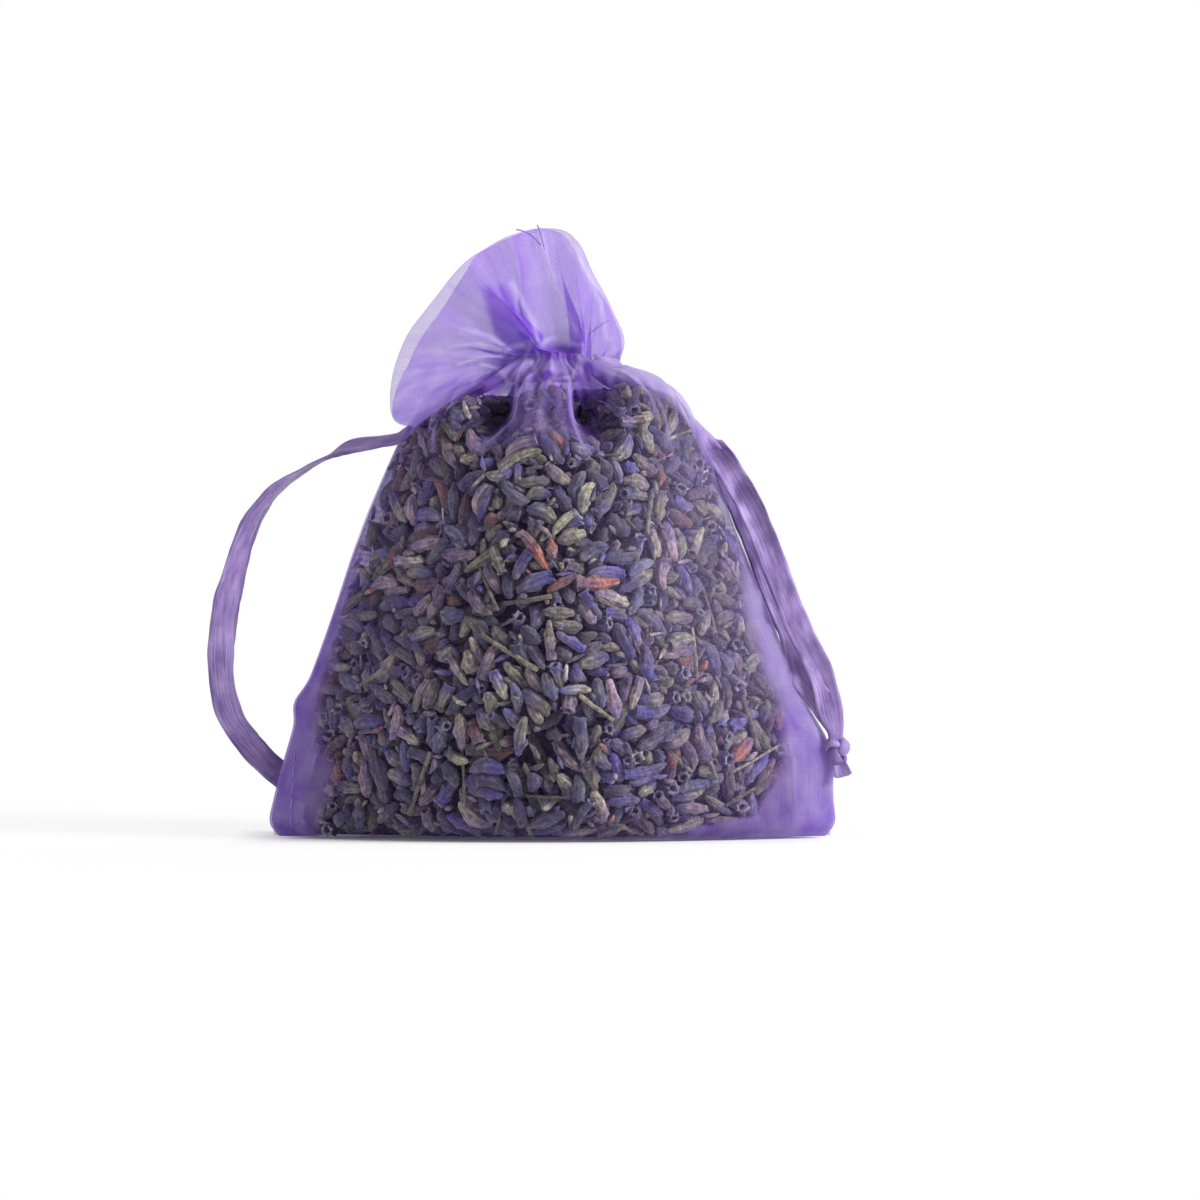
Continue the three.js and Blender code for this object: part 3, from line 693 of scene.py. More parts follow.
def floor_material():
    """White paper: the camera sees it white, and it keeps the shadow under the pouch."""
    material, tree = new_tree("white_paper")
    place = object_place(tree)
    tone = blend_colours(tree, noise(tree, place, 60.0), (0.86, 0.86, 0.87), (0.9, 0.9, 0.9))
    paper = node(tree, "ShaderNodeBsdfDiffuse", Color=tone)
    glow = node(tree, "ShaderNodeEmission", Color=(1, 1, 1), Strength=1.0)
    path = node(tree, "ShaderNodeLightPath")
    split = node(tree, "ShaderNodeSeparateXYZ", Vector=place)
    beside = calc(tree, "SUBTRACT", calc(tree, "ABSOLUTE", split.outputs[0]), BASE_HALF_WIDTH * MM)
    before = calc(tree, "SUBTRACT", calc(tree, "ABSOLUTE", split.outputs[1]), BASE_HALF_DEPTH * MM)
    away = calc(tree, "MAXIMUM", beside, before)
    near = node(
        tree, "ShaderNodeMapRange", Value=away, From_Min=-0.002, From_Max=0.006, To_Min=0.1, To_Max=0.82,
    ).outputs[0]
    far = node(tree, "ShaderNodeMapRange", Value=away, From_Min=0.006, From_Max=0.1, To_Max=0.18).outputs[0]
    seen = times(tree, path.outputs["Is Camera Ray"], plus(tree, near, far))
    finish_material(tree, mix_shaders(tree, seen, paper, glow).outputs[0])
    return material


# Camera, lights and floor


def add_camera():
    camera = bpy.data.objects.new("camera", bpy.data.cameras.new("camera"))
    camera.data.lens = LENS
    camera.data.sensor_width = SENSOR
    distance = VIEW_SPAN * LENS / SENSOR
    back = Vector((0, -math.cos(CAMERA_ELEVATION), math.sin(CAMERA_ELEVATION)))
    camera.location = (Vector(VIEW_MIDDLE) + back * distance) * MM
    camera.rotation_euler = (-back).to_track_quat("-Z", "Y").to_euler()
    camera.data.clip_start = CLIP_START
    camera.data.clip_end = CLIP_END
    bpy.context.scene.collection.objects.link(camera)
    bpy.context.scene.camera = camera


def add_lamp(name, place, size, power):
    lamp = bpy.data.objects.new(name, bpy.data.lights.new(name, "AREA"))
    lamp.data.size = size
    lamp.data.energy = power
    lamp.location = place
    lamp.rotation_euler = (Vector(LAMP_AIM) - lamp.location).to_track_quat("-Z", "Y").to_euler()
    bpy.context.scene.collection.objects.link(lamp)


def add_world():
    world = bpy.data.worlds.new("studio")
    bpy.context.scene.world = world
    world.use_nodes = True
    tree = world.node_tree
    tree.nodes.clear()
    path = node(tree, "ShaderNodeLightPath")
    soft = node(tree, "ShaderNodeBackground", Color=(1, 1, 1), Strength=WORLD_LIGHT)
    white = node(tree, "ShaderNodeBackground", Color=(1, 1, 1), Strength=1.0)
    mix = mix_shaders(tree, path.outputs["Is Camera Ray"], soft, white)
    node(tree, "ShaderNodeOutputWorld", Surface=mix.outputs[0])


def add_stage():
    corners = FLOOR_REACH * np.array([(-1, -1, 0), (1, -1, 0), (1, 1, 0), (-1, 1, 0)])
    floor = add_piece("floor", corners, [(0, 1, 2, 3)], floor_material())
    for name, settings in LAMPS.items():
        add_lamp(name, *settings)
    add_world()
    bpy.context.scene.view_settings.view_transform = "Standard"
    bpy.context.scene.cycles.transparent_max_bounces = CLEAR_LAYERS


# Ribbons


def ribbon_across(path, hand, strand_from, turns):
    """Directions across and along a ribbon.

    It stands upright in the channel, lies flat on the shoulder and then turns to face the front."""
    tangent = unit(np.gradient(path, axis=0))
    flat = unit(BACKWARDS - tangent * tangent[:, 1:2])
    upright = unit(UP - tangent * tangent[:, 2:])
    laid = (smoothstep(hand * path[:, 0], FLAT_FROM, FLAT_TO) * math.pi / 2)[:, None]
    run = run_length(path)
    share = (run - run[strand_from]) / (run[-1] - run[strand_from])
    turn = np.radians(np.interp(share, *zip(*turns)))[:, None]
    on_edge = unit(upright * np.cos(laid) + flat * np.sin(laid))
    return unit(on_edge * np.cos(turn) + np.cross(tangent, flat) * np.sin(turn)), tangent


def ribbon_shape(path, across, tangent, widths, cup, ripple, seed):
    """A thin ribbon along path, hollowed across its width by cup and rippled along its length."""
    columns = 9
    u = np.linspace(-1, 1, columns)
    run = run_length(path)
    through = np.cross(tangent, across)
    hollow = np.broadcast_to(cup, len(path))[:, None] * (u**2 - 1 / 3)[None]
    waves = wander(run[:, None] * 1.1 + u[None] * 0.9, seed)
    waves = waves + 0.4 * wander(run[:, None] * 2.7 - u[None], seed + 2)
    waves = np.broadcast_to(ripple, len(path))[:, None] * waves * (0.35 + 0.65 * np.abs(u[None]))
    fray = 1 + 0.03 * wander(run * 1.1, seed + 1)
    lie = path[:, None] + across[:, None] * (u[None, :, None] * (widths * fray / 2)[:, None, None])
    middle = lie + through[:, None] * (hollow + waves)[..., None]
    half = through[:, None] * (RIBBON_THICKNESS / 2)
    rings = np.concatenate([middle + half, (middle - half)[:, ::-1]], axis=1)
    sides = 2 * columns
    points = rings.reshape(-1, 3)
    caps = [[k, k + 1, sides - 2 - k, sides - 1 - k] for k in range(columns - 1)]
    last = (len(path) - 1) * sides
    ends = np.array(caps)
    faces = np.vstack([grid_faces(len(path), sides, wrap=True)[:, ::-1], ends, ends[:, ::-1] + last])
    across_mm = np.concatenate([u, u[::-1]]) * RIBBON_WIDTH / 2
    uv = np.stack(np.broadcast_arrays(across_mm[None], run[:, None]), axis=-1)
    return points, faces, uv.reshape(-1, 2)


def add_strand(label, route, which, satin):
    """One free strand of a drawstring, from inside the channel to its knot."""
    hand, side = route["hand"], FRONT if which == "front" else BACK
    arm = [(hand * x, side * ARM_OFFSET, route["height"]) for x in ARM_PLACES]
    shoulder = [(x, -side * y, z) for x, y, z in route["shoulder"]]
    into_knot = np.array(route["knot"]) + unit(np.array(route["knot_direction"], float)) * KNOT_REACH
    path = even_path(arm + shoulder + route[which] + [tuple(into_knot)], RIBBON_STEP)
    strand_from = int(np.argmin(np.linalg.norm(path - np.array(route[which][0]), axis=1)))
    run = run_length(path)
    leaving = smoothstep(run, run[strand_from] - 1, run[strand_from] + 6)
    free = leaving * (1 - smoothstep(run, run[-1] - 9.5, run[-1] - 1))
    top, bottom = (np.array(shift) for shift in STRAND_SHIFTS[label, which])
    lower = 1 - smoothstep(path[:, 2:], SHIFT_HEIGHTS[1], SHIFT_HEIGHTS[0])
    on_shoulder = smoothstep(hand * path[:, 0], 5.5, 10) * (1 - leaving)
    shift = np.column_stack([free, leaving, free]) * lerp(top, bottom, lower)
    path = path + shift + on_shoulder[:, None] * np.array(SHOULDER_SHIFTS[label, which])
    turns = [(share, degrees * BACK_TURNS[label] ** (which == "back")) for share, degrees in TURNS[label]]
    across, tangent = ribbon_across(path, hand, strand_from, turns)
    run = run_length(path)
    widths = lerp(CHANNEL_RIBBON_WIDTH, RIBBON_WIDTH, smoothstep(hand * path[:, 0], FLAT_FROM, FLAT_TO))
    widths *= lerp(1.0, KNOT_SQUEEZE, smoothstep(run, run[-1] - SQUEEZED_LENGTH, run[-1]))
    seed = STRAND_SEEDS[label] + (side > 0)
    cup = free * (CUP_WANDER * wander(run * 0.25, seed + 40) + STRAND_CUP[label])
    ripple = free * STRAND_RIPPLE[label] + LEAST_RIPPLE
    points, faces, uv = ribbon_shape(path, across, tangent, widths, cup, ripple, seed)
    piece = add_piece(f"{label}_ribbon_{which}", points, faces, satin, uv=uv)
    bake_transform(piece)
    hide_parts(f"{label}_strand_{which}")
    return piece, path


def add_channel_ribbon(label, route, satin):
    """The hairpin of ribbon inside the channel."""
    hand, height = route["hand"], route["height"]
    arm = [(hand * x, -ARM_OFFSET, height) for x in (HAIRPIN_REACH, 2.0, -BIGHT_REACH / 2, -BIGHT_REACH)]
    bight = (-hand * (BIGHT_REACH + ARM_OFFSET), 0, height)
    back_arm = [(x, -y, z) for x, y, z in reversed(arm)]
    path = even_path([*arm, bight, *back_arm], RIBBON_STEP)
    tangent = unit(np.gradient(path, axis=0))
    across = np.broadcast_to(UP, path.shape)
    widths = np.full(len(path), CHANNEL_RIBBON_WIDTH)
    points, faces, uv = ribbon_shape(path, across, tangent, widths, 0.1, 0.05, 5)
    piece = add_piece(f"{label}_ribbon_in_channel", points, faces, satin, uv=uv)
    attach(piece, f"{label}_drawstring")
    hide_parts(f"{label}_drawstring_run")


def add_knot(label, route, satin):
    """An overhand knot in the doubled ribbon: a flattened band wound along a trefoil."""
    turns = np.linspace(0, 2 * math.pi, 120, endpoint=False)
    trefoil = np.column_stack([
        -np.sin(3 * turns) * KNOT_SIZE[0],
        (np.sin(turns) + 2 * np.sin(2 * turns)) * KNOT_SIZE[1],
        (np.cos(turns) - 2 * np.cos(2 * turns)) * KNOT_SIZE[2],
    ])
    along = unit(np.array(route["knot_direction"], float))
    side = unit(np.cross(along, BACKWARDS if abs(along[1]) < 0.9 else UP))
    axes = np.stack([np.cross(along, side), side, along])
    path = np.array(route["knot"]) + trefoil @ axes
    tangent = unit(np.roll(path, -1, 0) - np.roll(path, 1, 0))
    outward = path - np.array(route["knot"])
    outward = unit(outward - tangent * np.sum(outward * tangent, axis=1, keepdims=True))
    across = np.cross(tangent, outward)
    sides = 12
    angle = np.linspace(0, 2 * math.pi, sides, endpoint=False)
    crease = 1 + 0.1 * np.sin(5 * angle[None] + 3 * np.sin(turns[:, None] * 2))
    wide = across[:, None] * (np.cos(angle)[None] * crease * KNOT_BAND[0])[..., None]
    high = outward[:, None] * (np.sin(angle)[None] * crease * KNOT_BAND[1])[..., None]
    points = (path[:, None] + wide + high).reshape(-1, 3)
    faces = grid_faces(len(path) + 1, sides, wrap=True) % len(points)
    run = turns * 2.2
    uv = np.stack(np.broadcast_arrays(np.cos(angle)[None] * 1.5, run[:, None]), axis=-1).reshape(-1, 2)
    knot = add_piece(f"{label}_knot_tied", points, faces, satin, uv=uv)
    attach(knot, f"{label}_loop")
    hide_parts(f"{label}_knot")
    return knot


def add_tails(label, route, satin):
    """The two cut ends of ribbon below a knot."""
    tails = []
    for which, places in zip(("front", "back"), route["tails"]):
        path = even_path(places, TAIL_STEP)
        tangent = unit(np.gradient(path, axis=0))
        across = unit(np.cross(tangent, unit(BACKWARDS - tangent * tangent[:, 1:2])))
        widths = np.linspace(CHANNEL_RIBBON_WIDTH, TAIL_WIDTH, len(path))
        points, faces, uv = ribbon_shape(path, across, tangent, widths, 0.25, 0.12, 61 + len(which))
        tail = add_piece(f"{label}_tail_{which}_end", points, faces, satin, uv=uv)
        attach(tail, f"{label}_loop")
        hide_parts(f"{label}_tail_{which}")
        tails.append(tail)
    return tails


def add_drawstrings():
    satin = satin_material()
    for label, route in ROUTES.items():
        on_cord = [add_knot(label, route, satin), *add_tails(label, route, satin)]
        add_channel_ribbon(label, route, satin)
        for which, side in (("front", FRONT), ("back", BACK)):
            piece, path = add_strand(label, route, which, satin)


# Cloth


def broad_fold(s):
    return np.cos(math.pi * BROAD_FOLDS * s) * (1 - s**4)


def gathers(s, seed, lean=0.0):
    """Tight uneven folds across a panel, dying out at its seams. lean shifts them sideways."""
    broad = np.sin(31 * s + seed + lean + 1.6 * np.sin(3.1 * s + seed))
    narrow = np.sin(55 * s + 2.1 * seed - lean + 1.2 * np.sin(4.7 * s - seed))
    return (0.7 + 0.3 * np.sin(7 * s + seed)) * (0.7 * broad + 0.5 * narrow) * (1 - s**6)


def outside_tongue(x, z):
    """Distance outside the tongue's border, which runs down from the neck and then sweeps out."""
    drop = np.maximum(COLLAR_HEIGHT - z, 0)
    flare = np.where(x < TONGUE_MIDDLE, TONGUE_FLARE[LEFT], TONGUE_FLARE[RIGHT])
    return np.abs(x - TONGUE_MIDDLE) - TONGUE_HALF_WIDTH - flare * drop**TONGUE_FLARE_POWER


def pocket(x, z):
    """How deep the cloth sinks beside the tongue: sharply at its border and gently away from it."""
    outside = outside_tongue(x, z)
    sunk = smoothstep(outside, -0.2, 1.3) * (1 - smoothstep(outside, 1.6, 6.5))
    return POCKET_DEPTH * sunk * smoothstep(z, *POCKET_FOOT) * (1 - 0.95 * smoothstep(z, *POCKET_TOP))


def swag(x, z):
    """The crease along the tongue's border, between 0 and 1, which gets a painted highlight."""
    crease = np.exp(-((outside_tongue(x, z) / SWAG_WIDTH) ** 2))
    return crease * smoothstep(z, *SWAG_FOOT) * (1 - smoothstep(z, 57.5, NECK_HEIGHT))


def body_points(side, s, t, tight=1.0, sunk=1.0):
    """Points of a panel below the ruffle. s runs from seam to seam, t from the base to the channel's top.

    tight scales its gathers and sunk its pockets."""
    level = smooth_curve(LEVELS, t)
    width, depth, z = level[..., 0], level[..., 1], level[..., 2]
    rounded = smoothstep(z, WAIST_HEIGHT, CREST_HEIGHT)
    across = lerp(s, np.sin(s * math.pi / 2), rounded)
    bulge = lerp(np.maximum(1 - s * s, 0) ** PINCH, np.cos(s * math.pi / 2), rounded)
    at_neck = smoothstep(z, COLLAR_HEIGHT, NECK_HEIGHT)
    edge = lerp(SEAM_HALF_GAP, SLIT_HALF_WIDTH, at_neck)
    x = width * across
    y = side * (edge + (depth - edge) * bulge)
    level_out = unit(np.stack([x / width**2, y / depth**2, np.zeros_like(x)], axis=-1))
    on_shoulder = smoothstep(z, SHOULDER_HEIGHT, COLLAR_HEIGHT)
    on_shoulder = on_shoulder * (1 - smoothstep(z, NECK_HEIGHT - 0.6, CHANNEL_TOP))
    outward = unit(level_out + UP * (SHOULDER_LEAN * on_shoulder)[..., None])
    gathered = smoothstep(z, FOLD_START_HEIGHT, CREST_HEIGHT)
    out = lerp(SHOULDER_FOLD_DEPTH, NECK_FOLD_DEPTH, at_neck) * gathered * broad_fold(s)
    pinched = smoothstep(z, GATHER_START_HEIGHT, NECK_HEIGHT)
    if side == FRONT:
        out = out - sunk * pocket(x, z)
        pinched = pinched * (1 - FRONT_CALM * smoothstep(z, 56, 58.5))
    folds = gathers(s, GATHER_SEED + side, GATHER_LEAN * (z - CHANNEL_TOP))
    out = out + tight * GATHER_DEPTH * pinched * folds
    tilt = np.where(s < 0, SHOULDER_TILT[LEFT], SHOULDER_TILT[RIGHT])
    below_neck = 1 - smoothstep(z, COLLAR_TOP, NECK_HEIGHT)
    raised = tilt * s * smoothstep(z, TILT_START_HEIGHT, COLLAR_HEIGHT) * below_neck
    raised = raised - SIDE_DROP * s * s * smoothstep(z, NECK_HEIGHT, CHANNEL_TOP)
    if side == BACK:
        raised = raised - BACK_DROP * smoothstep(z, SHOULDER_HEIGHT, CREST_HEIGHT) * below_neck
    for hand, far, height, span, low, high in EDGE_BULGES:
        x = x + hand * far * np.exp(-(((z - height) / span) ** 2)) * smoothstep(hand * s, low, high)
    return np.stack([x, y, z + raised], axis=-1) + outward * out[..., None]


def lift_ridge(points):
    """Lifts the fold of the front panel's right shoulder that stands before the ribbon."""
    x, y, z = (points[..., k] for k in range(3))
    ribbon = np.array(ROUTES["right"]["shoulder"])
    top = np.interp(x, ribbon[:, 0], ribbon[:, 2]) + RIDGE_ABOVE
    beside = smoothstep(x, 6.5, 9) * (1 - smoothstep(x, 15, 17.5)) * smoothstep(z, 50, 54)
    points[..., 2] += np.exp(-(((y + RIDGE_FRONT) / RIDGE_WIDTH) ** 2)) * beside * np.maximum(top - z, 0)


def rim_points(shares):
    """Points of the ruffle's rim and its direction, at shares of its length."""
    places = np.array(RUFFLE_RIM) + UP * CHANNEL_TOP
    fine_shares = np.linspace(0, 1, 400)
    fine = smooth_curve(places, fine_shares)
    run = run_length(fine)
    at = np.interp(shares, run / run[-1], fine_shares)
    step = 0.004
    ahead = smooth_curve(places, np.minimum(at + step, 1))
    behind = smooth_curve(places, np.maximum(at - step, 0))
    return smooth_curve(places, at), unit(ahead - behind)


def ruffle_points(side, s, h):
    """Points of a panel's ruffle. h runs from the channel's top to the free edge."""
    foot = body_points(side, s, np.ones_like(s))
    share = (s + 1) / 2
    open_share = np.cos(s * math.pi / 2)
    rim, tangent = rim_points(share)
    run_up = rim - foot * np.array([1, 0, 1])
    facing = unit(np.cross(tangent, run_up) * np.array([0.3, 1, 0.3])) * -side
    waves = broad_fold(s) + 0.3 * np.sin(9.3 * math.pi * s + side) * open_share
    apart = SEAM_HALF_GAP + open_share * (RUFFLE_SPREAD / 2 + RUFFLE_DEPTH * waves)
    rim = rim + facing * apart[..., None]
    if side == FRONT:
        short = FRONT_RIM_SHORT * smoothstep(-s, -0.1, 0.4) * (1 - smoothstep(-s, 0.65, 0.9))
        rim = rim - unit(run_up) * short[..., None]
    knee = np.stack([
        lerp(foot[..., 0], rim[..., 0], RUFFLE_KNEE_OUT),
        lerp(foot[..., 1], rim[..., 1], RUFFLE_KNEE_FORWARD),
        foot[..., 2] + lerp(RUFFLE_KNEE_DROP, RUFFLE_KNEE_RISE, open_share),
    ], axis=-1)
    w = h[..., None]
    sheet = foot * (1 - w) ** 2 + knee * 2 * w * (1 - w) + rim * w**2
    rise = smoothstep(h, 0, 0.22)
    creases = 0.9 * gathers(s, GATHER_SEED + side) * rise * (1 - h) ** (1.6 + np.sin(5.0 * s + side))
    turn = 2 * math.pi * (share - (0.48 if side == FRONT else 0.45)) / (0.3 if side == FRONT else 0.24)
    doubled = np.exp(-(((share - 0.55) / 0.19) ** 2)) * rise * (1 - 0.85 * smoothstep(h, 0.45, 0.95))
    lesser = 0.75 * open_share * rise
    sideways = RUFFLE_OVERLAP * doubled * np.sin(turn) + lesser * np.sin(2 * math.pi * 7.3 * share + side)
    forwards = 0.9 * doubled * np.cos(turn) + creases + lesser * np.cos(2 * math.pi * 7.3 * share + side)
    return sheet - tangent * sideways[..., None] + facing * forwards[..., None]


def level_shares(rows):
    """Shares of the profile at even steps along it."""
    fine = np.linspace(0, 1, 600)
    run = run_length(smooth_curve(LEVELS, fine))
    return np.interp(np.linspace(0, run[-1], rows), run, fine)


def fill_limits(z, width):
    """How far the lavender reaches to the left and right at a height: the corners of the pouch stay empty."""
    left, right = (np.interp(z, *zip(*FILL_REACH[hand])) for hand in (LEFT, RIGHT))
    return -np.minimum(left, width + 0.9), np.minimum(right, width + 0.6)


def line_glow(x, z, line, width):
    """1 on a line seen from the front, falling to 0 within about twice width of it."""
    path = smooth_curve(line, np.linspace(0, 1, 24))
    away = np.full(x.shape, np.inf)
    for (x0, z0), (x1, z1) in zip(path[:-1], path[1:]):
        dx, dz = x1 - x0, z1 - z0
        along = np.clip(((x - x0) * dx + (z - z0) * dz) / (dx * dx + dz * dz), 0, 1)
        away = np.minimum(away, np.hypot(x - x0 - along * dx, z - z0 - along * dz))
    return np.exp(-((away / width) ** 2))


def inside_corners(x, z, corners):
    """1 inside a patch with straight sides seen from the front, falling to 0 outside it."""
    inside = np.full(x.shape, np.inf)
    for (x0, z0), (x1, z1) in zip(corners, corners[1:] + corners[:1]):
        dx, dz = x1 - x0, z1 - z0
        inside = np.minimum(inside, (dx * (z - z0) - dz * (x - x0)) / math.hypot(dx, dz))
    return smoothstep(inside, -1.4, 0.8)


def cloth_grid(side):
    """A panel's points, its place on the flat cloth and the values its material reads, row by row."""
    s = np.linspace(-1, 1, COLUMNS + 1)
    body = body_points(side, *np.meshgrid(s, level_shares(BODY_ROWS)))
    if side == FRONT:
        lift_ridge(body)
    h = np.linspace(0, 1, RUFFLE_ROWS + 1)[1:]
    ruffle = ruffle_points(side, *np.meshgrid(s, h))
    seam = np.column_stack(np.broadcast_arrays(s * BASE_HALF_WIDTH, side * SEAM_HALF_GAP, BASE_HEIGHT))
    floor = np.stack([lerp(seam, body[0], k) for k in np.linspace(0, 1, FLOOR_ROWS + 1)[:-1]])
    below = np.concatenate([floor, body])
    points = np.concatenate([below, ruffle])
    cover = np.concatenate([body_cover(below, side), ruffle_cover(ruffle, h)])
    up = np.concatenate([np.zeros(len(below)), h])[:, None]
    # Painted light: near the neck the gathers are painted paler, most on their ridges as painted highlights.
    near_neck = smoothstep(points[..., 2], 55.5, 58.5) * (1 - smoothstep(up, 0.15, 0.6))
    lean = GATHER_LEAN * np.minimum(points[..., 2] - CHANNEL_TOP, 0)
    ridges = smoothstep(gathers(s[None], GATHER_SEED + side, lean), 0.3, 0.9)
    light = near_neck * (0.35 * ridges + 0.5)
    # Painted sheen: the cloth over the lavender is painted paler, on the front up to the collar and on the
    # back up to the waist.
    painted_haze_top = COLLAR_HEIGHT if side == FRONT else WAIST_HEIGHT
    painted_haze = PAINTED_SHEEN * (1 - smoothstep(points[..., 2], painted_haze_top, painted_haze_top + 4))
    light = np.where(up > 0, light, np.maximum(light, painted_haze))
    if side == FRONT:
        light, cover = front_folds(points, light, cover, len(below))
    run = run_length(points[:, COLUMNS // 2])
    flat = np.meshgrid(s * FLAT_WIDTH / 2, run * FLAT_LENGTH / run[-1])
    return points, np.stack(flat, axis=-1), {"thread_cover": cover, "painted_light_and_fold_tone": light}


def front_folds(points, light, cover, body_rows):
    """Adds the front panel's folds and its painted light, highlights and shade to its values, and presses the
    sharp folds into its points.
    """
    x, z = points[..., 0].copy(), points[..., 2].copy()
    in_ruffle = (np.arange(len(x)) >= body_rows)[:, None]
    tongue = (1 - smoothstep(outside_tongue(x, z), -1.0, 0.2)) * smoothstep(z, 47, 52) * ~in_ruffle
    s = np.linspace(-1, 1, COLUMNS + 1)
    # Painted light from the right: the front below the collar is painted paler towards the right, and the
    # body's painted light is halved towards the left seam.
    painted_haze = RIGHT_PAINTED_LIGHT * smoothstep(x, -4, 16) * smoothstep(z, 6, 22)
    painted_haze = np.where(in_ruffle | (z > COLLAR_HEIGHT), 0, painted_haze)
    light = np.where(in_ruffle, light, light * lerp(0.5, 1, smoothstep(s, -1, -0.86)))
    ribbon = np.array(ROUTES["right"]["shoulder"])
    below_crest = np.interp(x, ribbon[:, 0], ribbon[:, 2]) - z
    shoulder = (1 - smoothstep(below_crest, 0.8, 3.4)) * smoothstep(x, 4, 9) * ~in_ruffle
    lobe = smoothstep(-z, -62, -58.5) * smoothstep(-x, 6, 10) * in_ruffle
    edging = np.where(in_ruffle, 0, swag(x, z))
    glow = np.max([line_glow(x, z, line, CREASE_WIDTH) for line in CREASE_LINES], axis=0)
    hollow = np.max([hollow_at(x, z, *place) for place in HOLLOWS], axis=0)
    doubled = inside_corners(x, z, DOUBLED_FOLD) * in_ruffle
    in_pocket = smoothstep(pocket(x, z), 1.0, 3.0) * ~in_ruffle
    middle = hollow_at(x, z, *RUFFLE_HOLLOW) * in_ruffle
    points[..., 1] += 0.4 * hollow - CREASE_HEIGHT * glow - 0.4 * doubled
    # Painted light: paler on the tongue, the right shoulder and the ruffle's left lobe, and a painted
    # highlight along the swag crease.
    light = np.maximum.reduce([light, painted_haze, 0.4 * tongue, 0.6 * edging, 0.95 * shoulder, 0.5 * lobe])
    # Painted shade: deep violet low in the pockets, darker in the middle of the ruffle's hollow and in the
    # hollows between folds. The doubled fold gets a deeper violet of its own, and the creases a painted
    # highlight.
    pocket_light = lerp(-0.9, 0.0, smoothstep(z, 54.5, 57.5))
    light = lerp(lerp(light - 0.35 * middle, -0.4, doubled), pocket_light, in_pocket)
    light = np.maximum(lerp(light, -0.25, hollow), 0.85 * glow)
    shares = [0.36 * tongue, 0.8 * edging, 0.72 * shoulder, 0.85 * lobe]
    shares += [0.9 * doubled, 0.94 * hollow, 0.8 * glow]
    sheer = np.where(in_ruffle, smoothstep(s, -1.02, -0.92), 1)
    return light, np.maximum.reduce([cover, *shares]) * lerp(0.3, 1, sheer)


def hollow_at(x, z, middle_x, middle_z, half_width, half_height):
    """1 in the middle of a hollow seen from the front, falling to 0 outside it."""
    return np.exp(-((((x - middle_x) / half_width) ** 2 + ((z - middle_z) / half_height) ** 2) ** 2))


def flank_of(points):
    """How far the cloth is turned away from the front: 0 facing it, 1 edge on."""
    normal = unit(np.cross(np.gradient(points, axis=1), np.gradient(points, axis=0)))
    return 1 - np.abs(normal[..., 1])


def body_cover(points, side):
    """Share of the view that threads cover: little on the taut body, more where it is gathered or empty."""
    x, z = points[..., 0], points[..., 2]
    width = np.abs(points[:, [0, -1], 0]).max(axis=1, keepdims=True)
    left_limit, right_limit = fill_limits(z, np.broadcast_to(width, z.shape))
    beyond = np.maximum(left_limit - x, x - right_limit)
    cover = 0.04 + 0.05 * smoothstep(x, -2, 20) + 0.5 * flank_of(points) ** 1.5
    cover = cover + 0.55 * smoothstep(beyond, -2.2, 0.6)
    hem = 1.1 + 2.6 * smoothstep(x, 4, 30)
    cover = np.maximum(cover, lerp(0.25, 0.75, smoothstep(x, 8, 26)) * smoothstep(hem - z, 0, 0.9))
    uneven = 0.4 * np.sin(1.9 * x + 0.4) + 0.3 * np.sin(3.7 * x)
    cover = np.maximum(cover, 0.95 * smoothstep(z + uneven, 55.8, 57.8))
    if side == BACK:
        folds = 1.5 * np.sin(0.5 * x + 0.8) + 0.9 * np.sin(1.3 * x)
        return np.minimum(np.maximum(cover + 0.06, 0.88 * smoothstep(z + folds, 48, 55.5)), 0.88)
    in_pocket = smoothstep(pocket(x, z), 1.0, 3.5)
    return np.maximum(cover * (1 - 0.6 * in_pocket), 0.85 * in_pocket * smoothstep(z, 53, 57))


def ruffle_cover(points, h):
    """Share of the view that threads cover in the ruffle: most at its foot, and a turned hem at its edge."""
    up = h[:, None]
    cover = lerp(0.85, 0.5, smoothstep(up, 0.0, 0.5)) * (1 + 0.6 * flank_of(points) ** 2)
    return np.where(up > 0.985, 0.55, cover)


def add_panels():
    cloth = organza_material("organza", srgb(154, 100, 224), srgb(134, 80, 210))
    for side, label in ((FRONT, "front"), (BACK, "back")):
        points, flat, values = cloth_grid(side)
        rows, columns = points.shape[:2]
        faces = grid_faces(rows, columns)
        if side == BACK:
            faces = faces[:, ::-1]
        piece = add_piece(
            f"{label}_organza", points.reshape(-1, 3), faces, cloth, uv=flat.reshape(-1, 2), values=values,
        )
        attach(piece, "bag")
        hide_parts(f"{label}_panel")


def add_allowance(name, strip, flat, cover, cloth):
    """A strip of cloth inside a seam. cover is the share of the view that its threads cover."""
    rows, columns = strip.shape[:2]
    cover = np.broadcast_to(cover, (rows, columns))
    return add_piece(
        name, strip.reshape(-1, 3), grid_faces(rows, columns), cloth,
        uv=flat.reshape(-1, 2), values={"thread_cover": cover},
    )


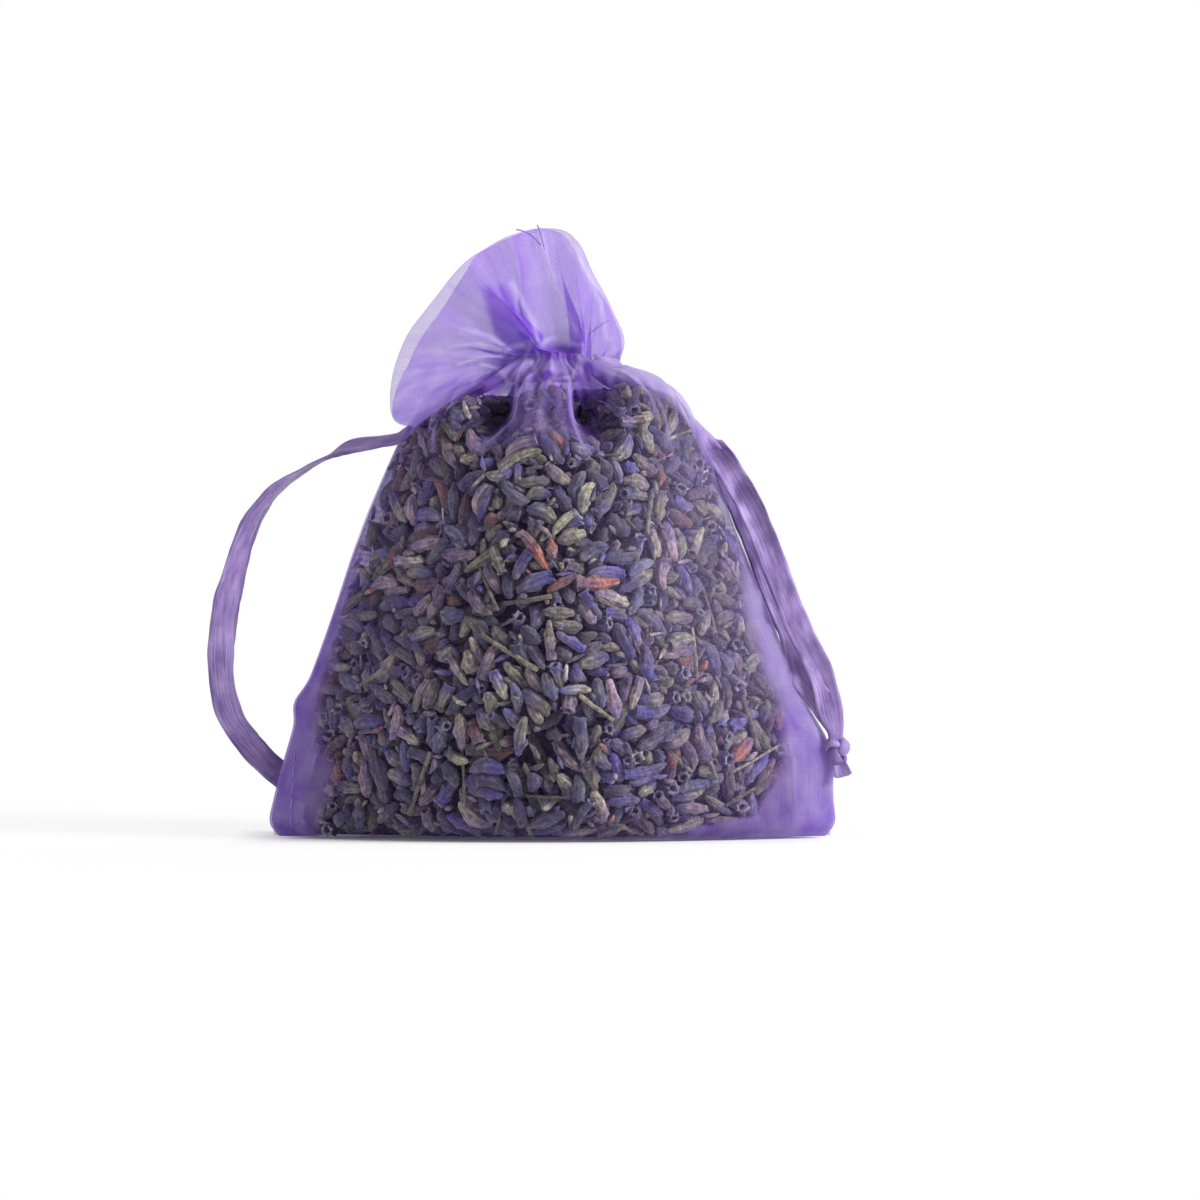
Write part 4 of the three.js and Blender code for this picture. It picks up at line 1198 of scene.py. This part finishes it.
def add_seams():
    """Seam allowances inside the pouch, and the thread that sews them."""
    cloth = organza_material("seam_organza", srgb(122, 98, 178), srgb(100, 78, 156))
    thread = thread_material()
    stitches = []
    for hand, label in ((LEFT, "left"), (RIGHT, "right")):
        shares = level_shares(90)
        shares = shares[shares < CREST_SHARE]
        edge = body_points(FRONT, np.full_like(shares, hand), shares) * np.array([1, 0, 1])
        widths = lerp(*SEAM_WIDTHS[hand], smoothstep(edge[:, 2], 5, 30))
        inwards = np.linspace(0.04, 1, 9)
        cover = SEAM_COVER[hand] * (1 - 0.8 * smoothstep(inwards, 0.5, 1))
        u = inwards[None] * widths[:, None]
        strip = edge[:, None] - np.array([hand, 0, 0]) * u[..., None]
        strip[..., 1] += 0.06 * np.sin(strip[..., 2] * 1.3 + u)
        flat = np.stack(np.broadcast_arrays(u, shares[:, None] * 70), axis=-1)
        piece = add_allowance(f"{label}_seam_allowance", strip, flat, cover, cloth)
        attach(piece, "bag")
        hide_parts(f"{label}_side_seam")
        low = (edge[:, 2] > 1) & (edge[:, 2] < STITCH_TOP)
        inset = lerp(*STITCH_INSETS, smoothstep(edge[low, 2], 2, STITCH_TOP))
        for side in (FRONT, BACK) if hand == LEFT else ():
            s = hand * (1 - inset / smooth_curve(LEVELS, shares[low])[:, 0])
            stitches += stitch_line(body_points(side, s, shares[low]), np.array([0, side * STITCH_LIFT, 0]))
    points, faces = join(stitches)
    sewn = add_piece("seam_stitches", points, faces, thread)
    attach(sewn, "bag")
    add_bottom_seam(cloth)
    add_ruffle_seams(cloth)
    add_loose_threads(thread)


def stitch_line(line, lift, length=1.5, gap=0.5):
    """Short threads laid along a line."""
    run = run_length(line)
    starts = np.arange(0.5, run[-1] - length, length + gap)
    shapes = []
    for start in starts:
        at = np.linspace(start, start + length, 5)
        path = np.column_stack([np.interp(at, run, line[:, k]) for k in range(3)])
        arch = np.array([0.15, 0.8, 1.0, 0.8, 0.15])
        shapes.append(tube(path + lift * arch[:, None], STITCH_HALF_THICKNESS, 6))
    return shapes


def add_bottom_seam(cloth):
    x = np.linspace(-34.5, 34.5, 140)
    z = np.linspace(0.35, 1.9, 4)
    strip = np.stack(np.broadcast_arrays(x[:, None], 0.05 * np.sin(x[:, None] * 0.8), z[None]), axis=-1)
    flat = np.stack(np.broadcast_arrays(x[:, None], z[None]), axis=-1)
    piece = add_allowance("bottom_seam_allowance", strip, flat, 0.5, cloth)
    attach(piece, "bag")
    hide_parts("bottom_seam")


def add_ruffle_seams(cloth):
    for hand, label in ((LEFT, "left"), (RIGHT, "right")):
        h = np.linspace(0.3, 1, 40)
        s = hand * np.linspace(1, 0.93, 4)
        grid = np.meshgrid(s, h)
        strip = (ruffle_points(FRONT, *grid) + ruffle_points(BACK, *grid)) / 2
        flat = np.stack(np.broadcast_arrays(s[None] * FLAT_WIDTH / 2, h[:, None] * 20), axis=-1)
        piece = add_allowance(f"{label}_ruffle_allowance", strip, flat, 0.4, cloth)
        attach(piece, "bag")
        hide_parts(f"{label}_ruffle_seam")


def add_loose_threads(thread):
    """Threads that have come out of the ruffle's cut edge."""
    lines = [
        [(-4.4, 0.6, 75.4), (-3.4, 0.2, 75.1), (-2.4, -0.4, 74.5), (-1.4, -1.2, 73.4)],
        [(-1.8, 0.0, 75.9), (-1.5, -0.4, 75.2), (-1.2, -1.0, 74.2), (-0.9, -1.6, 72.9)],
        [(4.6, -3.6, 62.2), (5.4, -4.1, 62.9), (6.3, -4.2, 63.5), (7.3, -3.8, 64.1)],
    ]
    points, faces = join([tube(even_path(line, 0.25), LOOSE_THREAD_HALF_THICKNESS, 6) for line in lines])
    piece = add_piece("loose_threads", points, faces, thread)
    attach(piece, "bag")


# Lavender


def inner_skin():
    """The pouch's inside as a closed surface, for keeping the buds in."""
    s = np.linspace(-1, 1, 61)
    shares = np.linspace(0, COLLAR_SHARE + 0.02, 60)
    grid = np.meshgrid(s, shares)
    front = body_points(FRONT, *grid, tight=0.0, sunk=FILL_SUNK)
    back = body_points(BACK, *grid, tight=0.0)[:, ::-1]
    rings = np.concatenate([front, back], axis=1)
    count = rings.shape[1]
    points = rings.reshape(-1, 3)
    faces = grid_faces(len(rings), count, wrap=True).tolist()
    faces.append(list(range(count))[::-1])
    faces.append([(len(rings) - 1) * count + k for k in range(count)])
    return points, faces


def seeds_on_skin(points, faces, count, rng):
    """Even random places on the skin, with its outward direction there."""
    quads = np.array(faces[:-2])
    a, b, c, d = (points[quads[:, k]] for k in range(4))
    normal = np.cross(c - a, d - b)
    area = np.linalg.norm(normal, axis=1)
    pick = rng.choice(len(quads), count, p=area / area.sum())
    u, v = rng.random((2, count, 1))
    place = lerp(lerp(a[pick], b[pick], u), lerp(d[pick], c[pick], u), v)
    return place, unit(normal[pick])


def closest_on_pairs(a1, b1, a2, b2):
    """Shares along two sets of straight lines where each pair comes closest."""
    d1, d2, gap = b1 - a1, b2 - a2, a1 - a2
    aa, ee = np.sum(d1 * d1, -1), np.sum(d2 * d2, -1)
    bb, cc, ff = np.sum(d1 * d2, -1), np.sum(d1 * gap, -1), np.sum(d2 * gap, -1)
    below = np.maximum(aa * ee - bb * bb, 1e-9)
    s = np.clip((bb * ff - cc * ee) / below, 0, 1)
    t = np.clip((bb * s + ff) / ee, 0, 1)
    s = np.clip((bb * t - cc) / aa, 0, 1)
    return s[:, None], t[:, None]


def near_pairs(middle, reach):
    tree = KDTree(len(middle))
    for index, place in enumerate(middle):
        tree.insert(place, index)
    tree.balance()
    pairs = [(i, j) for i, place in enumerate(middle) for _, j, _ in tree.find_range(place, reach) if j > i]
    return np.array(pairs)


def pack(kinds):
    """Lets the lavender settle: pieces push each other apart, stay in the cloth and press out against it."""
    rng = np.random.default_rng(BUD_SEED)
    skin_points, skin_faces = inner_skin()
    skin = BVHTree.FromPolygons(skin_points.tolist(), skin_faces)
    count = len(kinds["radius"])
    place, outward = seeds_on_skin(skin_points, skin_faces, count, rng)
    middle = place - outward * kinds["depth"][:, None]
    random = unit(rng.normal(size=(count, 3)))
    lying = unit(random - outward * np.sum(random * outward, axis=1, keepdims=True))
    axis = unit(lying + outward * kinds["tilt"][:, None] * rng.normal(size=(count, 1)))
    axis = np.where(kinds["on_end"][:, None], unit(outward + 0.35 * random), axis)
    half = (kinds["length"] / 2 - kinds["radius"] * 0.8)[:, None]
    a, b = middle - axis * half, middle + axis * half
    radius = kinds["radius"]
    for step in range(PACK_STEPS):
        if step % PAIR_STEPS == 0:
            pairs = near_pairs((a + b) / 2, PAIR_REACH)
            i, j = pairs[:, 0], pairs[:, 1]
        s, t = closest_on_pairs(a[i], b[i], a[j], b[j])
        apart = lerp(a[i], b[i], s) - lerp(a[j], b[j], t)
        distance = np.maximum(np.linalg.norm(apart, axis=1), 1e-6)
        overlap = np.maximum((radius[i] + radius[j]) * PACK_CLOSENESS - distance, 0)
        push = apart / distance[:, None] * (overlap * PACK_PUSH)[:, None]
        for ends, share in ((a, 1 - s), (b, s)):
            np.add.at(ends, i, push * share)
        for ends, share in ((a, 1 - t), (b, t)):
            np.add.at(ends, j, -push * share)
        way_a, spare_a = room_under(skin, a, kinds)
        way_b, spare_b = room_under(skin, b, kinds)
        a += way_a * np.minimum(spare_a, 0)
        b += way_b * np.minimum(spare_b, 0)
        drift = (way_a + way_b) / 2 * np.maximum(np.minimum(spare_a, spare_b), 0) * kinds["press"][:, None]
        for ends in (a, b):
            ends += drift
            keep_in_fill(ends, kinds)
        middle, along = (a + b) / 2, unit(b - a)
        a, b = middle - along * half, middle + along * half
    return a, b


def room_under(skin, ends, kinds):
    """For each end, the way out to the cloth and the room left before the piece touches it."""
    hits = [skin.find_nearest(Vector(end)) for end in ends]
    way = np.array([hit[1] for hit in hits])
    depth = np.array([(hit[0] - Vector(end)).dot(hit[1]) for hit, end in zip(hits, ends)])
    room = SKIN_GAP + SHOULDER_ROOM * smoothstep(ends[:, 2], *SHOULDER_ROOM_HEIGHTS)
    return way, (depth - kinds["reach"] - room)[:, None]


def keep_in_fill(ends, kinds):
    """Keeps the pouch's corners empty and the pieces off the floor."""
    width = np.interp(ends[:, 2], [level[2] for level in LEVELS], [level[0] for level in LEVELS])
    left, right = fill_limits(ends[:, 2], width)
    ends[:, 0] += np.maximum(left + kinds["radius"] - ends[:, 0], 0) * 0.5
    ends[:, 0] -= np.maximum(ends[:, 0] + kinds["radius"] - right, 0) * 0.5
    ends[:, 2] = np.clip(ends[:, 2], FLOOR_GAP + kinds["reach"], FILL_TOP - kinds["reach"])


def bud_shape(outline, rng, ribs, flatten, bend, rough):
    """One piece of lavender, one unit long along X and one unit in half thickness.

    Each point also has its share of the length, how deep it lies between two ribs, and its row."""
    sides = BUD_SIDES
    angle = np.linspace(0, 2 * math.pi, sides, endpoint=False)
    ridge = np.where(np.arange(sides) % 2 == 0, 1.0, 1.0 - ribs)
    rows = np.arange(len(outline))[:, None]
    lumps = 1 + rough * wander(np.arange(sides)[None] * 0.9 + rows * 1.7, int(rng.integers(999)))
    half = np.array([h for _, h in outline])[:, None] * ridge[None] * lumps
    share = np.array([x for x, _ in outline])
    bow = bend * (4 * (share - 0.5) ** 2)
    x = np.broadcast_to((share - 0.5)[:, None], half.shape)
    points = np.stack([x, half * np.cos(angle) + bow[:, None], half * np.sin(angle) * flatten], axis=-1)
    first = points[0].mean(axis=0)
    last = points[-1].mean(axis=0)
    flat_points = np.vstack([points.reshape(-1, 3), first, last])
    quads = grid_faces(len(outline), sides, wrap=True)
    ring = np.arange(sides)
    after = (ring + 1) % sides
    end = (len(outline) - 1) * sides
    low = np.column_stack([np.full(sides, len(flat_points) - 2), after, ring])
    high = np.column_stack([np.full(sides, len(flat_points) - 1), ring + end, after + end])
    faces = np.vstack([quads[:, [0, 1, 2]], quads[:, [0, 2, 3]], low, high])[:, ::-1]
    along = np.concatenate([np.repeat(share, sides), [0, share[-1]]])
    valley = np.concatenate([np.tile(1 - ridge, len(outline)) / max(ribs, 1e-6), [0, 0]])
    order = np.concatenate([np.repeat(np.arange(len(outline)), sides), [0, len(outline)]])
    return flat_points, faces, along, valley, order


def bud_palette():
    """Pairs of colours, at a bud's stem end and at its mouth, with how common each pair is."""
    pairs = [
        (srgb(150, 144, 124), srgb(88, 86, 138), 0.20),
        (srgb(112, 110, 124), srgb(86, 88, 128), 0.18),
        (srgb(106, 98, 128), srgb(78, 70, 144), 0.20),
        (srgb(172, 160, 142), srgb(142, 122, 146), 0.15),
        (srgb(158, 98, 78), srgb(118, 92, 106), 0.06),
        (srgb(156, 132, 140), srgb(116, 98, 132), 0.10),
        (srgb(166, 162, 132), srgb(136, 133, 124), 0.10),
    ]
    stem_end = np.array([p[0] for p in pairs])
    mouth = np.array([p[1] for p in pairs])
    return stem_end, mouth, np.array([p[2] for p in pairs])


def lavender_kinds(rng):
    """Sizes and habits of every piece of lavender."""
    layers = [OUTER_BUDS, MIDDLE_BUDS, INNER_BUDS]
    names = ["bud"] * sum(layers) + ["crumb"] * CRUMBS + ["stem"] * STEMS + ["leaf"] * LEAVES
    names = np.array(names)
    count = len(names)
    layer = np.zeros(count, int)
    layer[: sum(layers)] = np.repeat([0, 1, 2], layers)
    layer[names == "crumb"] = rng.integers(0, 2, CRUMBS)
    length = rng.normal(*BUD_LENGTH[:2], count).clip(*BUD_LENGTH[2:])
    radius = rng.normal(*BUD_RADIUS[:2], count).clip(*BUD_RADIUS[2:])
    for name, (low, high, thin, thick) in OTHER_SIZES.items():
        these = names == name
        length[these] = rng.uniform(low, high, these.sum())
        radius[these] = rng.uniform(thin, thick, these.sum())
    on_end = (names == "bud") & (layer == 0) & (rng.random(count) < ON_END_SHARE)
    return {
        "name": names, "layer": layer, "length": length, "radius": radius, "on_end": on_end,
        "reach": radius * np.where(names == "leaf", LEAF_WIDENING, 1.0),
        "depth": np.array(LAYER_DEPTHS)[layer],
        "tilt": np.array(LAYER_TILTS)[layer],
        "press": np.array(LAYER_PRESS)[layer],
    }


def add_lavender():
    rng = np.random.default_rng(BUD_SEED + 1)
    kinds = lavender_kinds(rng)
    a, b = pack(kinds)
    material = bud_material()
    middle, axis = (a + b) / 2, unit(b - a)
    side = unit(np.cross(axis, rng.normal(size=axis.shape)))
    third = np.cross(axis, side)
    stem_end, mouth, weights = bud_palette()
    pair = rng.choice(len(weights), len(axis), p=weights / weights.sum())
    light = 1.12 * np.exp(rng.normal(0.0, 0.42, len(axis))).clip(0.42, 1.75)
    # Painted shade: the deeper layers are painted darker.
    light *= np.array(LAYER_LIGHT)[kinds["layer"]]
    # Painted shade: front buds in the pockets are painted darker.
    light *= 1 - 0.8 * smoothstep(pocket(middle[:, 0], middle[:, 2]), 1.2, 3.2) * (middle[:, 1] < 0)
    variant = rng.integers(0, BUD_VARIANTS, len(axis))
    groups = {}
    for name, outlines in OUTLINES.items():
        for number in range(BUD_VARIANTS):
            outline = outlines[number % len(outlines)]
            ribs = 0.26 if name == "bud" else 0.06
            flatten = {"bud": rng.uniform(0.78, 1.0), "crumb": 0.8, "stem": 1.0, "leaf": 0.3}[name]
            shape = bud_shape(outline, rng, ribs, flatten, rng.uniform(-0.7, 0.7), 0.24)
            these = np.flatnonzero((kinds["name"] == name) & (variant == number))
            wide = LEAF_WIDENING if name == "leaf" else 1.0
            for index in these:
                radius = kinds["radius"][index]
                scale = np.array([kinds["length"][index], radius * wide, radius])
                axes = np.stack([axis[index], side[index], third[index]])
                points = middle[index] + (shape[0] * scale) @ axes
                ends = stem_end[pair[index]], mouth[pair[index]]
                colours = bud_colours(shape, ends, light[index], name, outline)
                key = ("front" if middle[index][1] < 0 else "back", kinds["layer"][index])
                groups.setdefault(key, []).append((points, shape[1], colours))
    for (label, layer), members in sorted(groups.items()):
        points, faces = join([(p, f) for p, f, _ in members])
        colours = np.vstack([c for _, _, c in members])
        piece = add_piece(f"lavender_{label}_{layer + 1}", points, faces, material, colours=colours)
        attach(piece, "bag")
        if layer == 0:
            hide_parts(*[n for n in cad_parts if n.startswith(f"lavender_bud_{label}_")])
    add_core()


def bud_colours(shape, ends, light, name, outline):
    """A colour for each point of a piece: from stem end to mouth, with painted shade between ribs and inside
    an open mouth, and a paler rim round it.
    """
    _, _, along, valley, order = shape
    stem_end, mouth = ends
    if name == "stem":
        stem_end, mouth = srgb(150, 146, 112), srgb(122, 118, 96)
    if name == "leaf":
        stem_end, mouth = srgb(112, 116, 84), srgb(92, 98, 80)
    turn = smoothstep(along, 0.2, 0.95)[:, None]
    colour = lerp(stem_end, mouth, turn) * light
    # Painted shade: darker in the grooves between ribs, and much darker inside an open mouth.
    colour = colour * (1.14 - 0.55 * valley)[:, None]
    if outline is OPEN_BUD:
        rim = np.isin(order, OPEN_BUD_RIM)
        colour[rim] = lerp(colour[rim], srgb(186, 176, 196), 0.6)
        colour[order > OPEN_BUD_RIM[-1]] *= 0.12
    return np.column_stack([colour, np.ones(len(colour))])


def add_core():
    """The inner mass of lavender, which closes the gaps between the outer buds."""
    s = np.linspace(-0.88, 0.86, 90)
    shares = np.linspace(0.12, COLLAR_SHARE - 0.06, 60)
    halves = []
    for side in (FRONT, BACK):
        here = body_points(side, *np.meshgrid(s, shares), tight=0.0, sunk=FILL_SUNK)
        x, y, z = (here[..., k] for k in range(3))
        lumps = 0.5 * np.sin(x * 1.9 + 1.2 * np.sin(z)) * np.sin(z * 1.7)
        inset = np.maximum(np.abs(y) - CORE_DEPTH + lumps, 0.12 * np.abs(y))
        halves.append(np.stack([x, side * inset, z - 1.4 * smoothstep(z, 46, COLLAR_HEIGHT)], axis=-1))
    rings = np.concatenate([halves[0], halves[1][:, ::-1]], axis=1)
    foot = rings[0] * np.array([0.98, 0.9, 0]) + UP * 0.5
    middle = foot * np.array([0.6, 0.3, 1])
    top = rings[-1] * np.array([0.3, 0.3, 1])
    rings = np.concatenate([middle[None], foot[None], rings, top[None]])
    faces = grid_faces(len(rings), rings.shape[1], wrap=True)
    piece = add_piece("lavender_core", rings.reshape(-1, 3), faces, core_material())
    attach(piece, "bag")
    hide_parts("lavender_fill")


add_camera()
add_drawstrings()
add_panels()
add_seams()
add_lavender()
add_stage()
